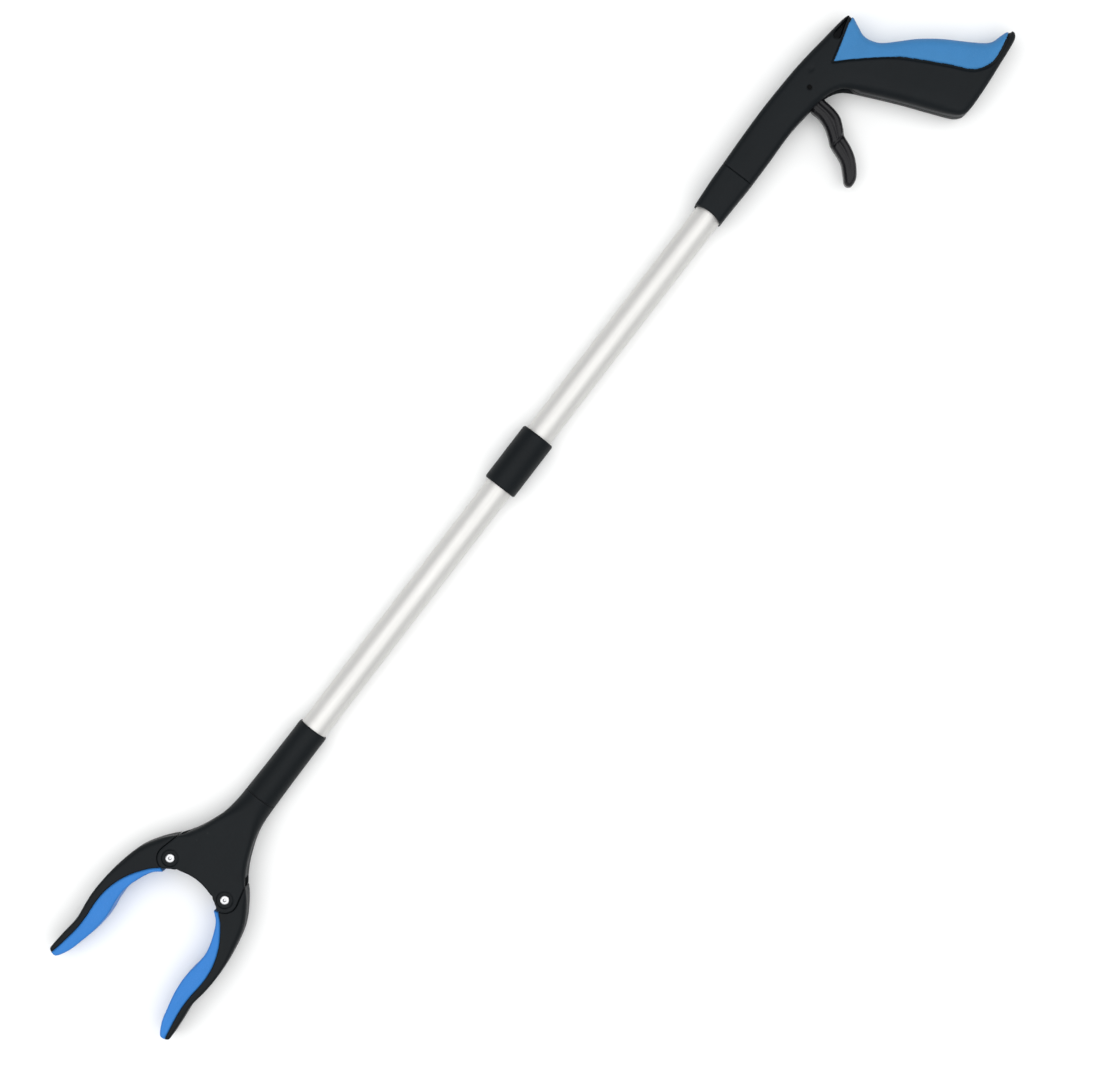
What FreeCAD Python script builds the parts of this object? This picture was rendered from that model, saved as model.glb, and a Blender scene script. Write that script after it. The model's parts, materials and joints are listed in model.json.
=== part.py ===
import FreeCAD, Part

import math
import os

import Sketcher

# A folding reacher grabber, 32 inches long, lying flat with its jaws open.
# +X runs along the tube towards the jaws, +Y lies in the plane of the jaws on the trigger's
# side, and +Z is up. Outlines are drawn from the middle of the fold joint, on the tube's axis,
# and every body is then placed so that the whole tool's footprint is centred on the origin.

V = FreeCAD.Vector

DIMENSIONS = {
    # place of the fold's middle in the row frame
    "middle_x": 10.69,
    "middle_y": 23.015,
    "plane_height": 13.0,
    # tubes and lock collar
    "tube_radius": 9.5,
    "tube_bore": 8.6,
    "tube_end": 19.0,
    "upper_tube_far": 262.0,
    "lower_tube_far": 278.0,
    "collar_radius": 12.0,
    "collar_bore": 9.9,
    "collar_half": 21.5,
    # fold joint
    "fold_pin_x": 14.0,
    "fold_pin_radius": 2.0,
    "fold_half_height": 4.5,
    "fold_clearance": 0.3,
    "link_half_width": 6.3,
    "fork_inside": 6.55,
    "fork_outside": 8.3,
    "rivet_head": 0.5,
    "plug_depth": 45.0,
    "cable_passage": 2.5,
    "running_gap": 0.05,
    # handle
    "handle_half": 13.0,
    "handle_wall": 2.5,
    "tongue_half": 8.0,
    "nose_seam": 239.7,
    "nose_end": 206.7,
    "trigger_half": 7.0,
    "trigger_slot_half": 7.6,
    "trigger_pin_x": 314.4,
    "trigger_pin_y": 2.0,
    "trigger_pin_radius": 1.6,
    "trigger_hub": 7.0,
    "barrel_radius": 2.5,
    "barrel_pocket": 3.4,
    "barrel_half": 4.0,
    "barrel_lever": 7.0,
    "screw_radius": 1.5,
    "screw_head_radius": 2.9,
    "screw_head": 2.2,
    "screw_recess": 3.0,
    "post_radius": 3.4,
    # cable
    "cable_radius": 0.75,
    "guide_bore": 1.6,
    "stop_radius": 2.2,
    # head
    "socket_mouth": 225.3,
    "socket_seam": 283.3,
    "socket_mouth_radius": 10.15,
    "socket_seam_radius": 11.4,
    "spigot_radius": 7.0,
    "flange_radius": 8.5,
    "flange_start": 293.0,
    "spigot_end": 297.0,
    "socket_screw_x": 273.3,
    "socket_screw_radius": 1.3,
    "socket_screw_length": 1.4,
    "yoke_start": 283.6,
    "yoke_half": 13.0,
    "yoke_plate": 4.0,
    "spring_seat": 301.0,
    "jaw_pin_x": 350.5,
    "jaw_pin_y": 22.9,
    "jaw_pin_radius": 2.5,
    "jaw_rivet_head": 3.3,
    "rivet_well": 5.5,
    "rivet_well_depth": 1.5,
    "ear_radius": 8.5,
    "throat_x": 388.3,
    "throat_radius": 37.2,
    "throat_wall": 1.8,
    "jaw_half": 11.5,
    "jaw_root_half": 8.6,
    "jaw_hub": 6.6,
    "jaw_gap": 0.5,
    "pad_half": 12.0,
    "tail_length": 12.7,
    "tail_angle": 20.0,
    "tail_pin": 2.0,
    "tail_radius": 2.8,
    "slider_half": 4.0,
    "slider_gap": 0.4,
    "slot_gap": 0.35,
    "slider_back": 322.0,
    "spring_coil": 5.0,
    "spring_wire": 0.55,
    "spring_pitch": 2.6,
}


class Size:
    """A length that knows its number and the sheet expression that drives it."""

    def __init__(self, number, text):
        self.number = number
        self.text = text

    def __add__(self, other):
        other = as_size(other)
        return Size(self.number + other.number, f"({self.text} + {other.text})")

    def __sub__(self, other):
        other = as_size(other)
        return Size(self.number - other.number, f"({self.text} - {other.text})")

    def __radd__(self, other):
        return as_size(other) + self

    def __rsub__(self, other):
        return as_size(other) - self

    def __mul__(self, factor):
        return Size(self.number * factor, f"({self.text} * {factor:g})")

    def __neg__(self):
        return Size(-self.number, f"(0 - {self.text})")


def as_size(value):
    """The value as a Size; a plain number drives itself."""
    return value if isinstance(value, Size) else Size(float(value), f"{value:g}")


doc = FreeCAD.newDocument("ReacherGrabber")
sheet = doc.addObject("Spreadsheet::Sheet", "Sizes")
SIZES = {}
for row, (word, value) in enumerate(DIMENSIONS.items(), start=1):
    sheet.set(f"A{row}", word)
    sheet.set(f"B{row}", str(value))
    sheet.setAlias(f"B{row}", word)
    SIZES[word] = Size(value, f"Sizes.{word}")
doc.recompute()


def size(word):
    """The named dimension as a Size."""
    return SIZES[word]


def number(word):
    """The named dimension as a plain number."""
    return DIMENSIONS[word]


# ---------------------------------------------------------------- sketches and features


def hold(sketch, kind, axis, edge, corner, distance):
    """Hold one end or centre at a driven distance from the sketch's origin."""
    distance = as_size(distance)
    if abs(distance.number) < 1e-9:
        sketch.addConstraint(Sketcher.Constraint("PointOnObject", edge, corner, axis))
        return
    index = sketch.addConstraint(Sketcher.Constraint(kind, -1, 1, edge, corner, distance.number))
    if "Sizes." in distance.text:
        sketch.setExpression(f"Constraints[{index}]", distance.text)


def hold_point(sketch, edge, corner, x, y):
    hold(sketch, "DistanceX", -2, edge, corner, x)
    hold(sketch, "DistanceY", -1, edge, corner, y)


def polygon(sketch, points):
    """A closed outline of straight edges, each corner held by two driven distances."""
    points = [(as_size(x), as_size(y)) for x, y in points]
    first = sketch.GeometryCount
    corners = [V(x.number, y.number, 0) for x, y in points]
    for start, end in zip(corners, corners[1:] + corners[:1]):
        sketch.addGeometry(Part.LineSegment(start, end))
    for index, (x, y) in enumerate(points):
        before = first + (index - 1) % len(points)
        sketch.addConstraint(Sketcher.Constraint("Coincident", before, 2, first + index, 1))
        hold_point(sketch, first + index, 1, x, y)


def box(sketch, left, right, low, high):
    polygon(sketch, [(left, low), (right, low), (right, high), (left, high)])


def circle(sketch, x, y, radius):
    """A circle whose centre and radius are driven."""
    x, y, radius = as_size(x), as_size(y), as_size(radius)
    edge = sketch.addGeometry(Part.Circle(V(x.number, y.number, 0), V(0, 0, 1), radius.number))
    hold_point(sketch, edge, 3, x, y)
    index = sketch.addConstraint(Sketcher.Constraint("Radius", edge, radius.number))
    sketch.setExpression(f"Constraints[{index}]", radius.text)


SPAN_POINTS = 4


def spans(points):
    """One smooth curve through the points, cut into spans that stay exactly tangent."""
    curve = Part.BSplineCurve()
    curve.interpolate(points)
    ends = points[:-2:SPAN_POINTS] + [points[-1]]
    cuts = [curve.parameter(point) for point in ends]
    pieces = []
    for low, high in zip(cuts, cuts[1:]):
        piece = curve.copy()
        piece.segment(low, high)
        pieces.append(piece)
    return pieces


def outline(sketch, pieces):
    """A closed outline: a piece of one point is a line, of two an arc, of more a smooth curve.

    Each piece starts where the one before it ends.
    """
    start = pieces[-1][-1]
    for piece in pieces:
        points = [V(*start, 0)] + [V(*point, 0) for point in piece]
        if len(points) == 2:
            edges = [Part.LineSegment(*points)]
        elif len(points) == 3:
            edges = [Part.Arc(*points)]
        else:
            edges = spans(points)
        for edge in edges:
            sketch.addGeometry(edge)
        start = piece[-1]


def place(thing, x=0.0, y=0.0, z=0.0):
    """Put an object drawn from the fold's middle, moved by x, y and z, into the row frame."""
    offsets = (
        ("x", as_size(x) - size("middle_x")),
        ("y", as_size(y) - size("middle_y")),
        ("z", as_size(z) + size("plane_height")),
    )
    for axis, offset in offsets:
        thing.setExpression(f".Placement.Base.{axis}", offset.text)


SUBPARTS = []


def new_body(label):
    body = doc.addObject("PartDesign::Body", label)
    body.Label = label
    place(body)
    SUBPARTS.append(body)
    return body


def new_sketch(body, role, level, draw):
    """A sketch on one of the body's own origin planes, raised to a level, and drawn on."""
    sketch = body.newObject("Sketcher::SketchObject", "Outline")
    plane = next(f for f in body.Origin.OriginFeatures if f.Role == role)
    sketch.AttachmentSupport = [(plane, "")]
    sketch.MapMode = "FlatFace"
    if level is not None:
        sketch.setExpression(".AttachmentOffset.Base.z", as_size(level).text)
    draw(sketch)
    return sketch


def feature(body, kind, sketch):
    made = body.newObject(f"PartDesign::{kind}", kind)
    made.Profile = sketch
    return made


def settle(body, before, cuts):
    """Prove that the last feature added or removed material."""
    doc.recompute()
    after = body.Shape.Volume
    if (after >= before - 1e-6) if cuts else (after <= before + 1e-6):
        raise ValueError(f"{body.Label}: a feature changed nothing ({before:.2f}, {after:.2f})")


def volume(body):
    return 0.0 if body.Tip is None else body.Shape.Volume


def slab(body, kind, low, high, draw, role="XY_Plane"):
    """Pad or pocket a drawing between two levels along the plane's normal."""
    cuts = kind == "Pocket"
    before = volume(body)
    low, high = as_size(low), as_size(high)
    sketch = new_sketch(body, role, low, draw)
    made = feature(body, kind, sketch)
    made.setExpression("Length", (high - low).text)
    made.Reversed = cuts
    settle(body, before, cuts)


def add_slab(body, low, high, draw, role="XY_Plane"):
    slab(body, "Pad", low, high, draw, role)


def cut_slab(body, low, high, draw, role="XY_Plane"):
    slab(body, "Pocket", low, high, draw, role)


def turned(body, kind, points):
    """Turn a profile of (x, radius) points about the X axis."""
    cuts = kind == "Groove"
    before = volume(body)
    sketch = new_sketch(body, "XY_Plane", None, lambda s: polygon(s, points))
    made = feature(body, kind, sketch)
    made.ReferenceAxis = (sketch, ["H_Axis"])
    made.Angle = 360
    settle(body, before, cuts)


def add_turned(body, points):
    turned(body, "Revolution", points)


def cut_turned(body, points):
    turned(body, "Groove", points)


def bore(start, end, radius):
    """The profile of a round rod or hole along the X axis."""
    return [(start, 0), (end, 0), (end, radius), (start, radius)]


def ring(start, end, inside, outside):
    return [(start, inside), (end, inside), (end, outside), (start, outside)]


def round_edges(body, radius, chosen):
    """Round every edge whose midpoint passes the test."""
    names = []
    base = body.Tip
    for index, edge in enumerate(base.Shape.Edges, start=1):
        middle = edge.valueAt((edge.FirstParameter + edge.LastParameter) / 2)
        if chosen(middle, edge):
            names.append(f"Edge{index}")
    before = body.Shape.Volume
    made = body.newObject("PartDesign::Fillet", "Rounding")
    made.Base = (base, names)
    made.Radius = radius
    doc.recompute()
    if not 0 < body.Shape.Volume < before:
        raise ValueError(f"{body.Label}: the rounding of {len(names)} edges failed")


def rim(level):
    """A test for edges that lie all along at a level above or below the middle plane."""

    def chosen(middle, edge):
        curved = not isinstance(edge.Curve, Part.Line)
        return curved and abs(abs(middle.z) - level) < 1e-4 and edge.BoundBox.ZLength < 1e-4

    return chosen


# ---------------------------------------------------------------- round fasteners


def cylinder(name, radius, height, start, axis):
    """A cylinder that starts at a point of Sizes and runs along +Y, +Z or -Z."""
    made = doc.addObject("Part::Cylinder", name)
    made.setExpression("Radius", as_size(radius).text)
    made.setExpression("Height", as_size(height).text)
    made.Placement.Rotation = FreeCAD.Rotation(V(0, 0, 1), axis)
    place(made, *start)
    return made


def stepped_pin(name, start, axis, steps):
    """Cylinders end to end along an axis: each step is (radius, length)."""
    parts = []
    at = [as_size(value) for value in start]
    for index, (radius, length) in enumerate(steps):
        parts.append(cylinder(f"{name}_step{index}", radius, length, at, axis))
        length = as_size(length)
        at = [p + length * d for p, d in zip(at, (axis.x, axis.y, axis.z))]
    if len(parts) == 1:
        return parts[0]
    pin = doc.addObject("Part::MultiFuse", name)
    pin.Shapes = parts
    return pin


def group(label, pins):
    """Separate like fasteners that share one node."""
    made = doc.addObject("Part::Compound", label)
    made.Links = pins
    made.Label = label
    SUBPARTS.append(made)


def single(label, pin):
    pin.Label = label
    SUBPARTS.append(pin)


UP = V(0, 0, 1)
SIDE = V(0, 1, 0)

# ---------------------------------------------------------------- outlines of the handle

BARREL_TOP = [(-262, 10.9), (-284.7, 10.3), (-303.7, 11.9), (-314, 13.6)]
WEB = [(-321.5, 16.0), (-327.5, 20.0), (-331.2, 25.5), (-335.5, 34.5)]
GRIP_FRONT = [(-344.7, 55), (-353.2, 76), (-358.7, 88.5), (-362.4, 93.5)]
GRIP_END = [(-368, 95.6), (-384.7, 95.1), (-405, 93.2), (-419.5, 91.7)]
HEEL = [(-425.3, 90.2), (-427.4, 87.2), (-425.6, 84.2), (-420.5, 82.1)]
PALM = [
    (-412.3, 79),
    (-404.7, 68.5),
    (-394.7, 52),
    (-384.7, 39),
    (-374.7, 29),
    (-367, 20.5),
    (-364.2, 11),
    (-367, 3),
    (-369.6, -2.6),
]
TIP = [(-369.9, -5.4), (-367.9, -7.3), (-362, -8.6)]
BELLY = [(-344.7, -10.7), (-324.7, -12.9), (-304.7, -13.9), (-284.7, -14.3), (-262, -13.8)]
NOSE_HIGH = 11.2
NOSE_LOW = -12.9

SEAM_LOWER = [(-369.4, -5.4), (-354.3, -0.8), (-336.9, 4)]
SEAM_UPPER = [
    (-347.6, 15.1),
    (-362.9, 32.9),
    (-372.1, 48),
    (-381.9, 66.6),
    (-389.2, 81.2),
    (-398.2, 88),
    (-407.5, 89.4),
    (-424.7, 86),
    (-432, 83.2),
]
SEAM_START = (-375, -6.9)

TONGUE = [
    (-408, 84.5),
    (-403.5, 77),
    (-391, 58),
    (-381, 44),
    (-371, 34),
    (-361.5, 25),
    (-360, 14),
    (-362, 5),
    (-361, -1),
    (-352, -3),
    (-340, 8),
    (-352, 25),
    (-372, 52),
    (-388, 84),
]
GRIP_HOLLOW = [
    (-346, 20),
    (-338.5, 36),
    (-352, 70),
    (-361, 89),
    (-385.5, 88),
    (-376, 66),
    (-361, 42),
]
WORKS_HOLLOW = [
    (-345, -7),
    (-330, -9.5),
    (-262, -10.8),
    (-262, 8),
    (-285, 7.8),
    (-330, 9.5),
    (-338, 4),
]
SCREW_PLACES = [(-276.0, -8.3), (-341.0, -5.0), (-350.5, 46.0), (-378.0, 84.0)]
SLOT_FRONT = -303.2
SLOT_BACK = -333.0
SLOT_FOOT = 4.0
SLOT_TOP = 30.0
HANDLE_ROUNDING = 3.0

NOSE_BELLY = [(-228, -12.5), (-215, -11.6), (-206.7, -11.0)]
NOSE_EDGE = [(-209.7, -0.3), (-206.7, 10.5)]
NOSE_TOP = [(-215, 10.6), (-228, 10.9)]


def handle_outline(sketch):
    seam = -number("nose_seam")
    loop = BARREL_TOP + WEB + GRIP_FRONT + GRIP_END + HEEL + PALM + TIP + BELLY
    outline(sketch, [[(seam, NOSE_HIGH)], loop + [(seam, NOSE_LOW)]])


def palm_side(sketch):
    """All that lies on the palm's side of the seam."""
    end = SEAM_UPPER[-1]
    far = [[(-500, end[1])], [(-500, SEAM_START[1])], [SEAM_START]]
    outline(sketch, [SEAM_LOWER, SEAM_UPPER] + far)


def shell_side(sketch):
    """All that lies on the shells' side of the seam."""
    corners = [(SEAM_UPPER[-1][0], 150), (-200, 150), (-200, -60), (SEAM_START[0], -60), SEAM_START]
    outline(sketch, [SEAM_LOWER, SEAM_UPPER] + [[corner] for corner in corners])


def straight(points):
    """A drawing of straight edges between fixed points."""
    return lambda sketch: outline(sketch, [[point] for point in points])


def rectangle(left, right, low, high):
    """A drawing of one rectangle."""
    return lambda sketch: box(sketch, left, right, low, high)


def circles(places, radius):
    """A drawing of equal circles."""

    def draw(sketch):
        for x, y in places:
            circle(sketch, x, y, radius)

    return draw


def half_span(sign, low, high):
    """A span of levels above the middle plane, or its mirror image below it."""
    return (low, high) if sign > 0 else (-as_size(high), -as_size(low))


def make_handle_shell(label, sign):
    """One half of the handle, from the middle plane out to its face."""
    half = size("handle_half")
    inner = half - size("handle_wall")
    pin = (-size("trigger_pin_x"), size("trigger_pin_y"))
    seat = bore(-size("upper_tube_far"), 1 - size("nose_seam"), size("tube_radius"))
    slot = rectangle(SLOT_BACK, SLOT_FRONT, SLOT_FOOT, SLOT_TOP)
    body = new_body(label)
    add_slab(body, *half_span(sign, 0, half), handle_outline)
    round_edges(body, HANDLE_ROUNDING, rim(number("handle_half")))
    cut_slab(body, *half_span(sign, 0, half), palm_side)
    add_slab(body, *half_span(sign, 0, size("tongue_half")), straight(TONGUE))
    cut_slab(body, *half_span(sign, 0, inner), straight(WORKS_HOLLOW))
    cut_slab(body, *half_span(sign, 0, inner), straight(GRIP_HOLLOW))
    add_slab(body, *half_span(sign, 0, inner), circles(SCREW_PLACES, size("post_radius")))
    cut_turned(body, seat)
    cut_slab(body, *half_span(sign, 0, size("trigger_slot_half")), slot)
    cut_slab(body, *half_span(sign, 0, half), circles([pin], size("trigger_pin_radius")))
    if sign > 0:
        holes = half_span(sign, 0, size("tongue_half"))
    else:
        holes = half_span(sign, 0, half)
        recess = half_span(sign, half - size("screw_recess"), half)
        cut_slab(body, *recess, circles(SCREW_PLACES, size("screw_head_radius")))
    cut_slab(body, *holes, circles(SCREW_PLACES, size("screw_radius")))


def make_palm_grip():
    """The soft saddle over the back of both shells, hollow where the tongue fills it."""
    half = size("handle_half")
    body = new_body("palm_grip")
    add_slab(body, -half, half, handle_outline)
    round_edges(body, HANDLE_ROUNDING, rim(number("handle_half")))
    cut_slab(body, -half, half, shell_side)
    cut_slab(body, -size("tongue_half"), size("tongue_half"), straight(TONGUE))


def make_nose_sleeve():
    """The ring that closes the handle round the tube, with a hollowed front edge."""
    half = size("handle_half")
    body = new_body("nose_sleeve")
    seam, end = -size("nose_seam"), -size("nose_end")

    def draw(sketch):
        top = NOSE_TOP + [(seam.number, NOSE_HIGH)]
        outline(sketch, [[(seam.number, NOSE_LOW)], NOSE_BELLY, NOSE_EDGE, top])

    add_slab(body, -half, half, draw)
    round_edges(body, HANDLE_ROUNDING, rim(number("handle_half")))
    cut_turned(body, bore(seam - 1, end + 1, size("tube_radius")))


# ---------------------------------------------------------------- trigger

TRIGGER_LEVER = [
    (-304.3, 12.5),
    (-303.6, 20),
    (-301.3, 26.5),
    (-297.3, 32.5),
    (-293.8, 36.8),
    (-291.5, 43),
    (-288.7, 49.5),
    (-283.5, 55.3),
    (-279.6, 59.2),
    (-279, 62.2),
    (-281.2, 64.4),
    (-286.5, 63.8),
    (-292, 60.2),
    (-298, 54),
    (-302, 47),
    (-304.6, 40.6),
    (-309, 35.6),
    (-313.2, 29.8),
    (-315, 23),
    (-315.8, 14),
]
TRIGGER_ROOT_GROOVE = [
    (-313, 13),
    (-312.4, 23),
    (-309.7, 29.5),
    (-304.5, 35),
    (-299, 34.5),
    (-303, 28.5),
    (-306, 22),
    (-306.6, 13),
]
TRIGGER_TIP_GROOVE = [
    (-301.7, 40),
    (-298.5, 47.5),
    (-293.5, 54.5),
    (-286.5, 61),
    (-283.5, 60),
    (-289.5, 53.5),
    (-293, 46.5),
    (-295.5, 39.5),
]
GROOVE_DEPTH = 2.2
TRIGGER_ROUNDING = 1.2
TRIGGER_SWING = 38.0
HUB_MEETS_LEVER = 130.0
HUB_BACK = 257.5
HUB_FRONT = 385.0
SLIT_HALF = 1.4
SLIT_REACH = 24.0
SLIT_SIDE = 1.6
SLIT_LOW = -52.0
SLIT_HIGH = -6.0


def point_on(centre, radius, degrees):
    """The point of a circle at an angle from the X axis."""
    turn = math.radians(degrees)
    return (centre[0] + radius * math.cos(turn), centre[1] + radius * math.sin(turn))


def barrel_centre():
    """Where the cable's barrel sits at rest: half the trigger's swing before square."""
    pin = (-number("trigger_pin_x"), number("trigger_pin_y"))
    return point_on(pin, number("barrel_lever"), 90 - TRIGGER_SWING / 2)


def make_trigger():
    """The lever, its hub on the pin, the barrel's pocket and the slit that the cable swings in."""
    half = size("trigger_half")
    centre = (-number("trigger_pin_x"), number("trigger_pin_y"))
    turns = (HUB_MEETS_LEVER, HUB_BACK, HUB_FRONT)
    hub = [point_on(centre, number("trigger_hub"), turn) for turn in turns]
    body = new_body("trigger")
    add_slab(body, -half, half, lambda sketch: outline(sketch, [TRIGGER_LEVER + hub[:1], hub[1:]]))
    round_edges(body, TRIGGER_ROUNDING, rim(number("trigger_half")))
    pin = (-size("trigger_pin_x"), size("trigger_pin_y"))
    cut_slab(body, -half, half, circles([pin], size("trigger_pin_radius") + size("running_gap")))
    barrel = barrel_centre()
    cut_slab(body, -half, half, circles([barrel], size("barrel_pocket")))
    low_side = point_on(barrel, SLIT_SIDE, SLIT_LOW - 90)
    high_side = point_on(barrel, SLIT_SIDE, SLIT_HIGH + 90)
    low_end = point_on(low_side, SLIT_REACH, SLIT_LOW)
    high_end = point_on(high_side, SLIT_REACH, SLIT_HIGH)
    cut_slab(body, -SLIT_HALF, SLIT_HALF, straight([low_side, low_end, high_end, high_side]))
    for groove in (TRIGGER_ROOT_GROOVE, TRIGGER_TIP_GROOVE):
        for sign in (1, -1):
            cut_slab(body, *half_span(sign, half - GROOVE_DEPTH, half), straight(groove))


# ---------------------------------------------------------------- cable

CABLE_BEND = 90.0
CABLE_TRAVEL = 4.6
GUIDE_LENGTH = 10.0
GUIDE_SET_BACK = 4.0
CABLE_GAP = 0.1
STOP_GAP = 0.2


def make_upper_cable():
    """Down from the barrel to the tube's axis, and along it to just short of the fold's first pin."""
    radius = number("cable_radius")
    start = V(*barrel_centre(), 0)
    corner = V(-number("upper_tube_far") - 2, 0, 0)
    end = V(-number("fold_pin_x") - radius - CABLE_GAP, 0, 0)
    slope = (corner - start).normalize()
    turn = slope.getAngle(V(1, 0, 0))
    reach = CABLE_BEND * math.tan(turn / 2)
    enter = corner - slope * reach
    leave = corner + V(reach, 0, 0)
    centre = leave + V(0, CABLE_BEND, 0)
    middle = centre + (corner - centre).normalize() * CABLE_BEND
    path = Part.Wire(
        [
            Part.LineSegment(start, enter).toShape(),
            Part.Arc(enter, middle, leave).toShape(),
            Part.LineSegment(leave, end).toShape(),
        ]
    )
    section = Part.Wire(Part.Circle(end, V(1, 0, 0), radius).toShape())
    made = doc.addObject("Part::Feature", "cable_upper")
    made.Shape = path.makePipeShell([section], True, False)
    made.Label = "cable_upper"
    place(made)
    SUBPARTS.append(made)
    straight_volume = math.pi * radius**2 * path.Length
    if abs(made.Shape.Volume / straight_volume - 1) > 0.01:
        raise ValueError("the upper cable's volume is not its section times its length")


def make_rod(label, start, end, radius):
    add_turned(new_body(label), bore(start, end, radius))


def make_cable_guides():
    """Two plugs in the tubes' far ends that keep the cable on the axis."""
    wall = (size("guide_bore"), size("tube_bore"))
    start = GUIDE_SET_BACK - size("upper_tube_far")
    add_turned(new_body("cable_guide_upper"), ring(start, start + GUIDE_LENGTH, *wall))
    end = size("lower_tube_far")
    add_turned(new_body("cable_guide_lower"), ring(end - GUIDE_LENGTH, end, *wall))


# ---------------------------------------------------------------- tubes and fold

COLLAR_BEVEL = 0.8
PLUG_FIT = 0.03
LINK_MOUTH = 0.72
FOLD_RIVET_HEAD = 2.9
RIVET_INSET = 0.5


def make_tubes():
    wall = (size("tube_bore"), size("tube_radius"))
    upper = new_body("upper_tube")
    add_turned(upper, ring(-size("upper_tube_far"), -size("tube_end"), *wall))
    lower = new_body("lower_tube")
    add_turned(lower, ring(size("tube_end"), size("lower_tube_far"), *wall))
    collar = new_body("lock_collar")
    half, inside, outside = size("collar_half"), size("collar_bore"), size("collar_radius")
    profile = [
        (-half, inside + COLLAR_BEVEL),
        (-half, outside - COLLAR_BEVEL),
        (COLLAR_BEVEL - half, outside),
        (half - COLLAR_BEVEL, outside),
        (half, outside - COLLAR_BEVEL),
        (half, inside + COLLAR_BEVEL),
        (half - COLLAR_BEVEL, inside),
        (COLLAR_BEVEL - half, inside),
    ]
    add_turned(collar, profile)


def make_hinge_plug(label, side):
    """A plug in a tube's end, with a fork whose two ears hold the fold's rivets."""
    body = new_body(label)
    near, far = size("tube_end"), size("plug_depth")
    pin_x, height = size("fold_pin_x"), size("fold_half_height")
    root = pin_x + height + size("fold_clearance")

    def along(value):
        return value if side > 0 else -as_size(value)

    outside, inside = size("fork_outside"), size("fork_inside")
    add_turned(body, bore(along(root), along(far), size("tube_bore") - PLUG_FIT))
    ear = rectangle(along(pin_x), along(near), -height, height)
    add_slab(body, -outside, outside, ear, "XZ_Plane")
    add_slab(body, -outside, outside, circles([(along(pin_x), 0)], height), "XZ_Plane")
    slot = rectangle(along(0), along(root), -inside, inside)
    cut_slab(body, -size("tube_bore"), size("tube_bore"), slot)
    hole = circles([(along(pin_x), 0)], size("fold_pin_radius"))
    cut_slab(body, -size("tube_bore"), size("tube_bore"), hole, "XZ_Plane")
    cut_turned(body, bore(along(root), along(far), size("cable_passage")))


def make_fold_link():
    """The link between the two forks, open along its middle for the cable."""
    body = new_body("fold_link")
    pin_x, height = size("fold_pin_x"), size("fold_half_height")
    width, passage = size("link_half_width"), size("cable_passage")
    add_slab(body, -width, width, rectangle(-pin_x, pin_x, -height, height), "XZ_Plane")
    for centre, end in ((pin_x, pin_x + height), (-pin_x, -pin_x - height)):
        add_slab(body, -width, width, circles([(centre, 0)], height), "XZ_Plane")
        hole = circles([(centre, 0)], size("fold_pin_radius") + size("running_gap"))
        cut_slab(body, -width, width, hole, "XZ_Plane")
        cut_slab(body, -height, height, rectangle(centre * LINK_MOUTH, end, -passage, passage))
    cut_slab(body, -passage, height, rectangle(-pin_x, pin_x, -passage, passage))


def fold_rivets(label, x):
    """Two short rivets on one axis, which leave the middle free for the cable."""
    inner = size("cable_passage") + RIVET_INSET
    shank = size("fork_outside") - inner
    steps = [(size("fold_pin_radius"), shank), (FOLD_RIVET_HEAD, size("rivet_head"))]
    near = stepped_pin(f"{label}_near", (x, -inner, 0), V(0, -1, 0), steps)
    far = stepped_pin(f"{label}_far", (x, inner, 0), V(0, 1, 0), steps)
    group(label, [near, far])


# ---------------------------------------------------------------- head

SOCKET_SCREW_TURN = 40.0
SOCKET_SCREW_GAP = 0.05
YOKE_SIDE = [(295.3, 11.9), (305.3, 13.5), (315.3, 16.9), (325.3, 21.5), (335.3, 27.8)]
YOKE_ROUNDING = 3.0
ROUNDING_END = 343.3
YOKE_SCREW_PLACES = [(326.0, 14.2), (326.0, -14.2)]
CAVITY_NECK = 9.6
CAVITY_SIDE = [(305.3, 10.9), (315.3, 14.1), (325.3, 18.7), (331, 22.2)]
CAVITY_OUT = 42.0
CAVITY_END = 372.0
THROAT_WALL_HALF = 14.6
RAIL_LOW = 6.4
RAIL_HIGH = 8.2
RAIL_START = 300.0
RAIL_END = 334.0
RAIL_BITE = 1.0
NECK_TAPER_END = 312.0
NECK_GAP = 0.3


def make_socket():
    """The sleeve on the lower tube, with the spigot that the head turns on."""
    body = new_body("head_socket")
    mouth, seam, end = size("socket_mouth"), size("socket_seam"), size("spigot_end")
    seat, tube = size("lower_tube_far"), size("tube_radius")
    profile = [
        (mouth, tube),
        (mouth, size("socket_mouth_radius")),
        (seam, size("socket_seam_radius")),
        (seam, size("spigot_radius")),
        (size("flange_start"), size("spigot_radius")),
        (size("flange_start"), size("flange_radius")),
        (end, size("flange_radius")),
        (end, size("cable_passage")),
        (seat, size("cable_passage")),
        (seat, tube),
    ]
    add_turned(body, profile)
    before = volume(body)
    hole = circles([(size("socket_screw_x"), 0)], size("socket_screw_radius"))
    sketch = new_sketch(body, "XY_Plane", None, hole)
    sketch.AttachmentOffset.Rotation = FreeCAD.Rotation(V(1, 0, 0), SOCKET_SCREW_TURN)
    made = feature(body, "Pocket", sketch)
    made.setExpression("Length", (size("socket_seam_radius") + 1).text)
    made.Reversed = True
    settle(body, before, True)


def make_socket_screw():
    """The short screw in the socket's wall, just clear of the tube."""
    turn = math.radians(SOCKET_SCREW_TURN)
    out = V(0, -math.sin(turn), math.cos(turn))
    foot = size("tube_radius") + SOCKET_SCREW_GAP
    start = (size("socket_screw_x"), foot * out.y, foot * out.z)
    steps = [(size("socket_screw_radius"), size("socket_screw_length"))]
    single("socket_screw", stepped_pin("socket_screw", start, out, steps))


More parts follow.
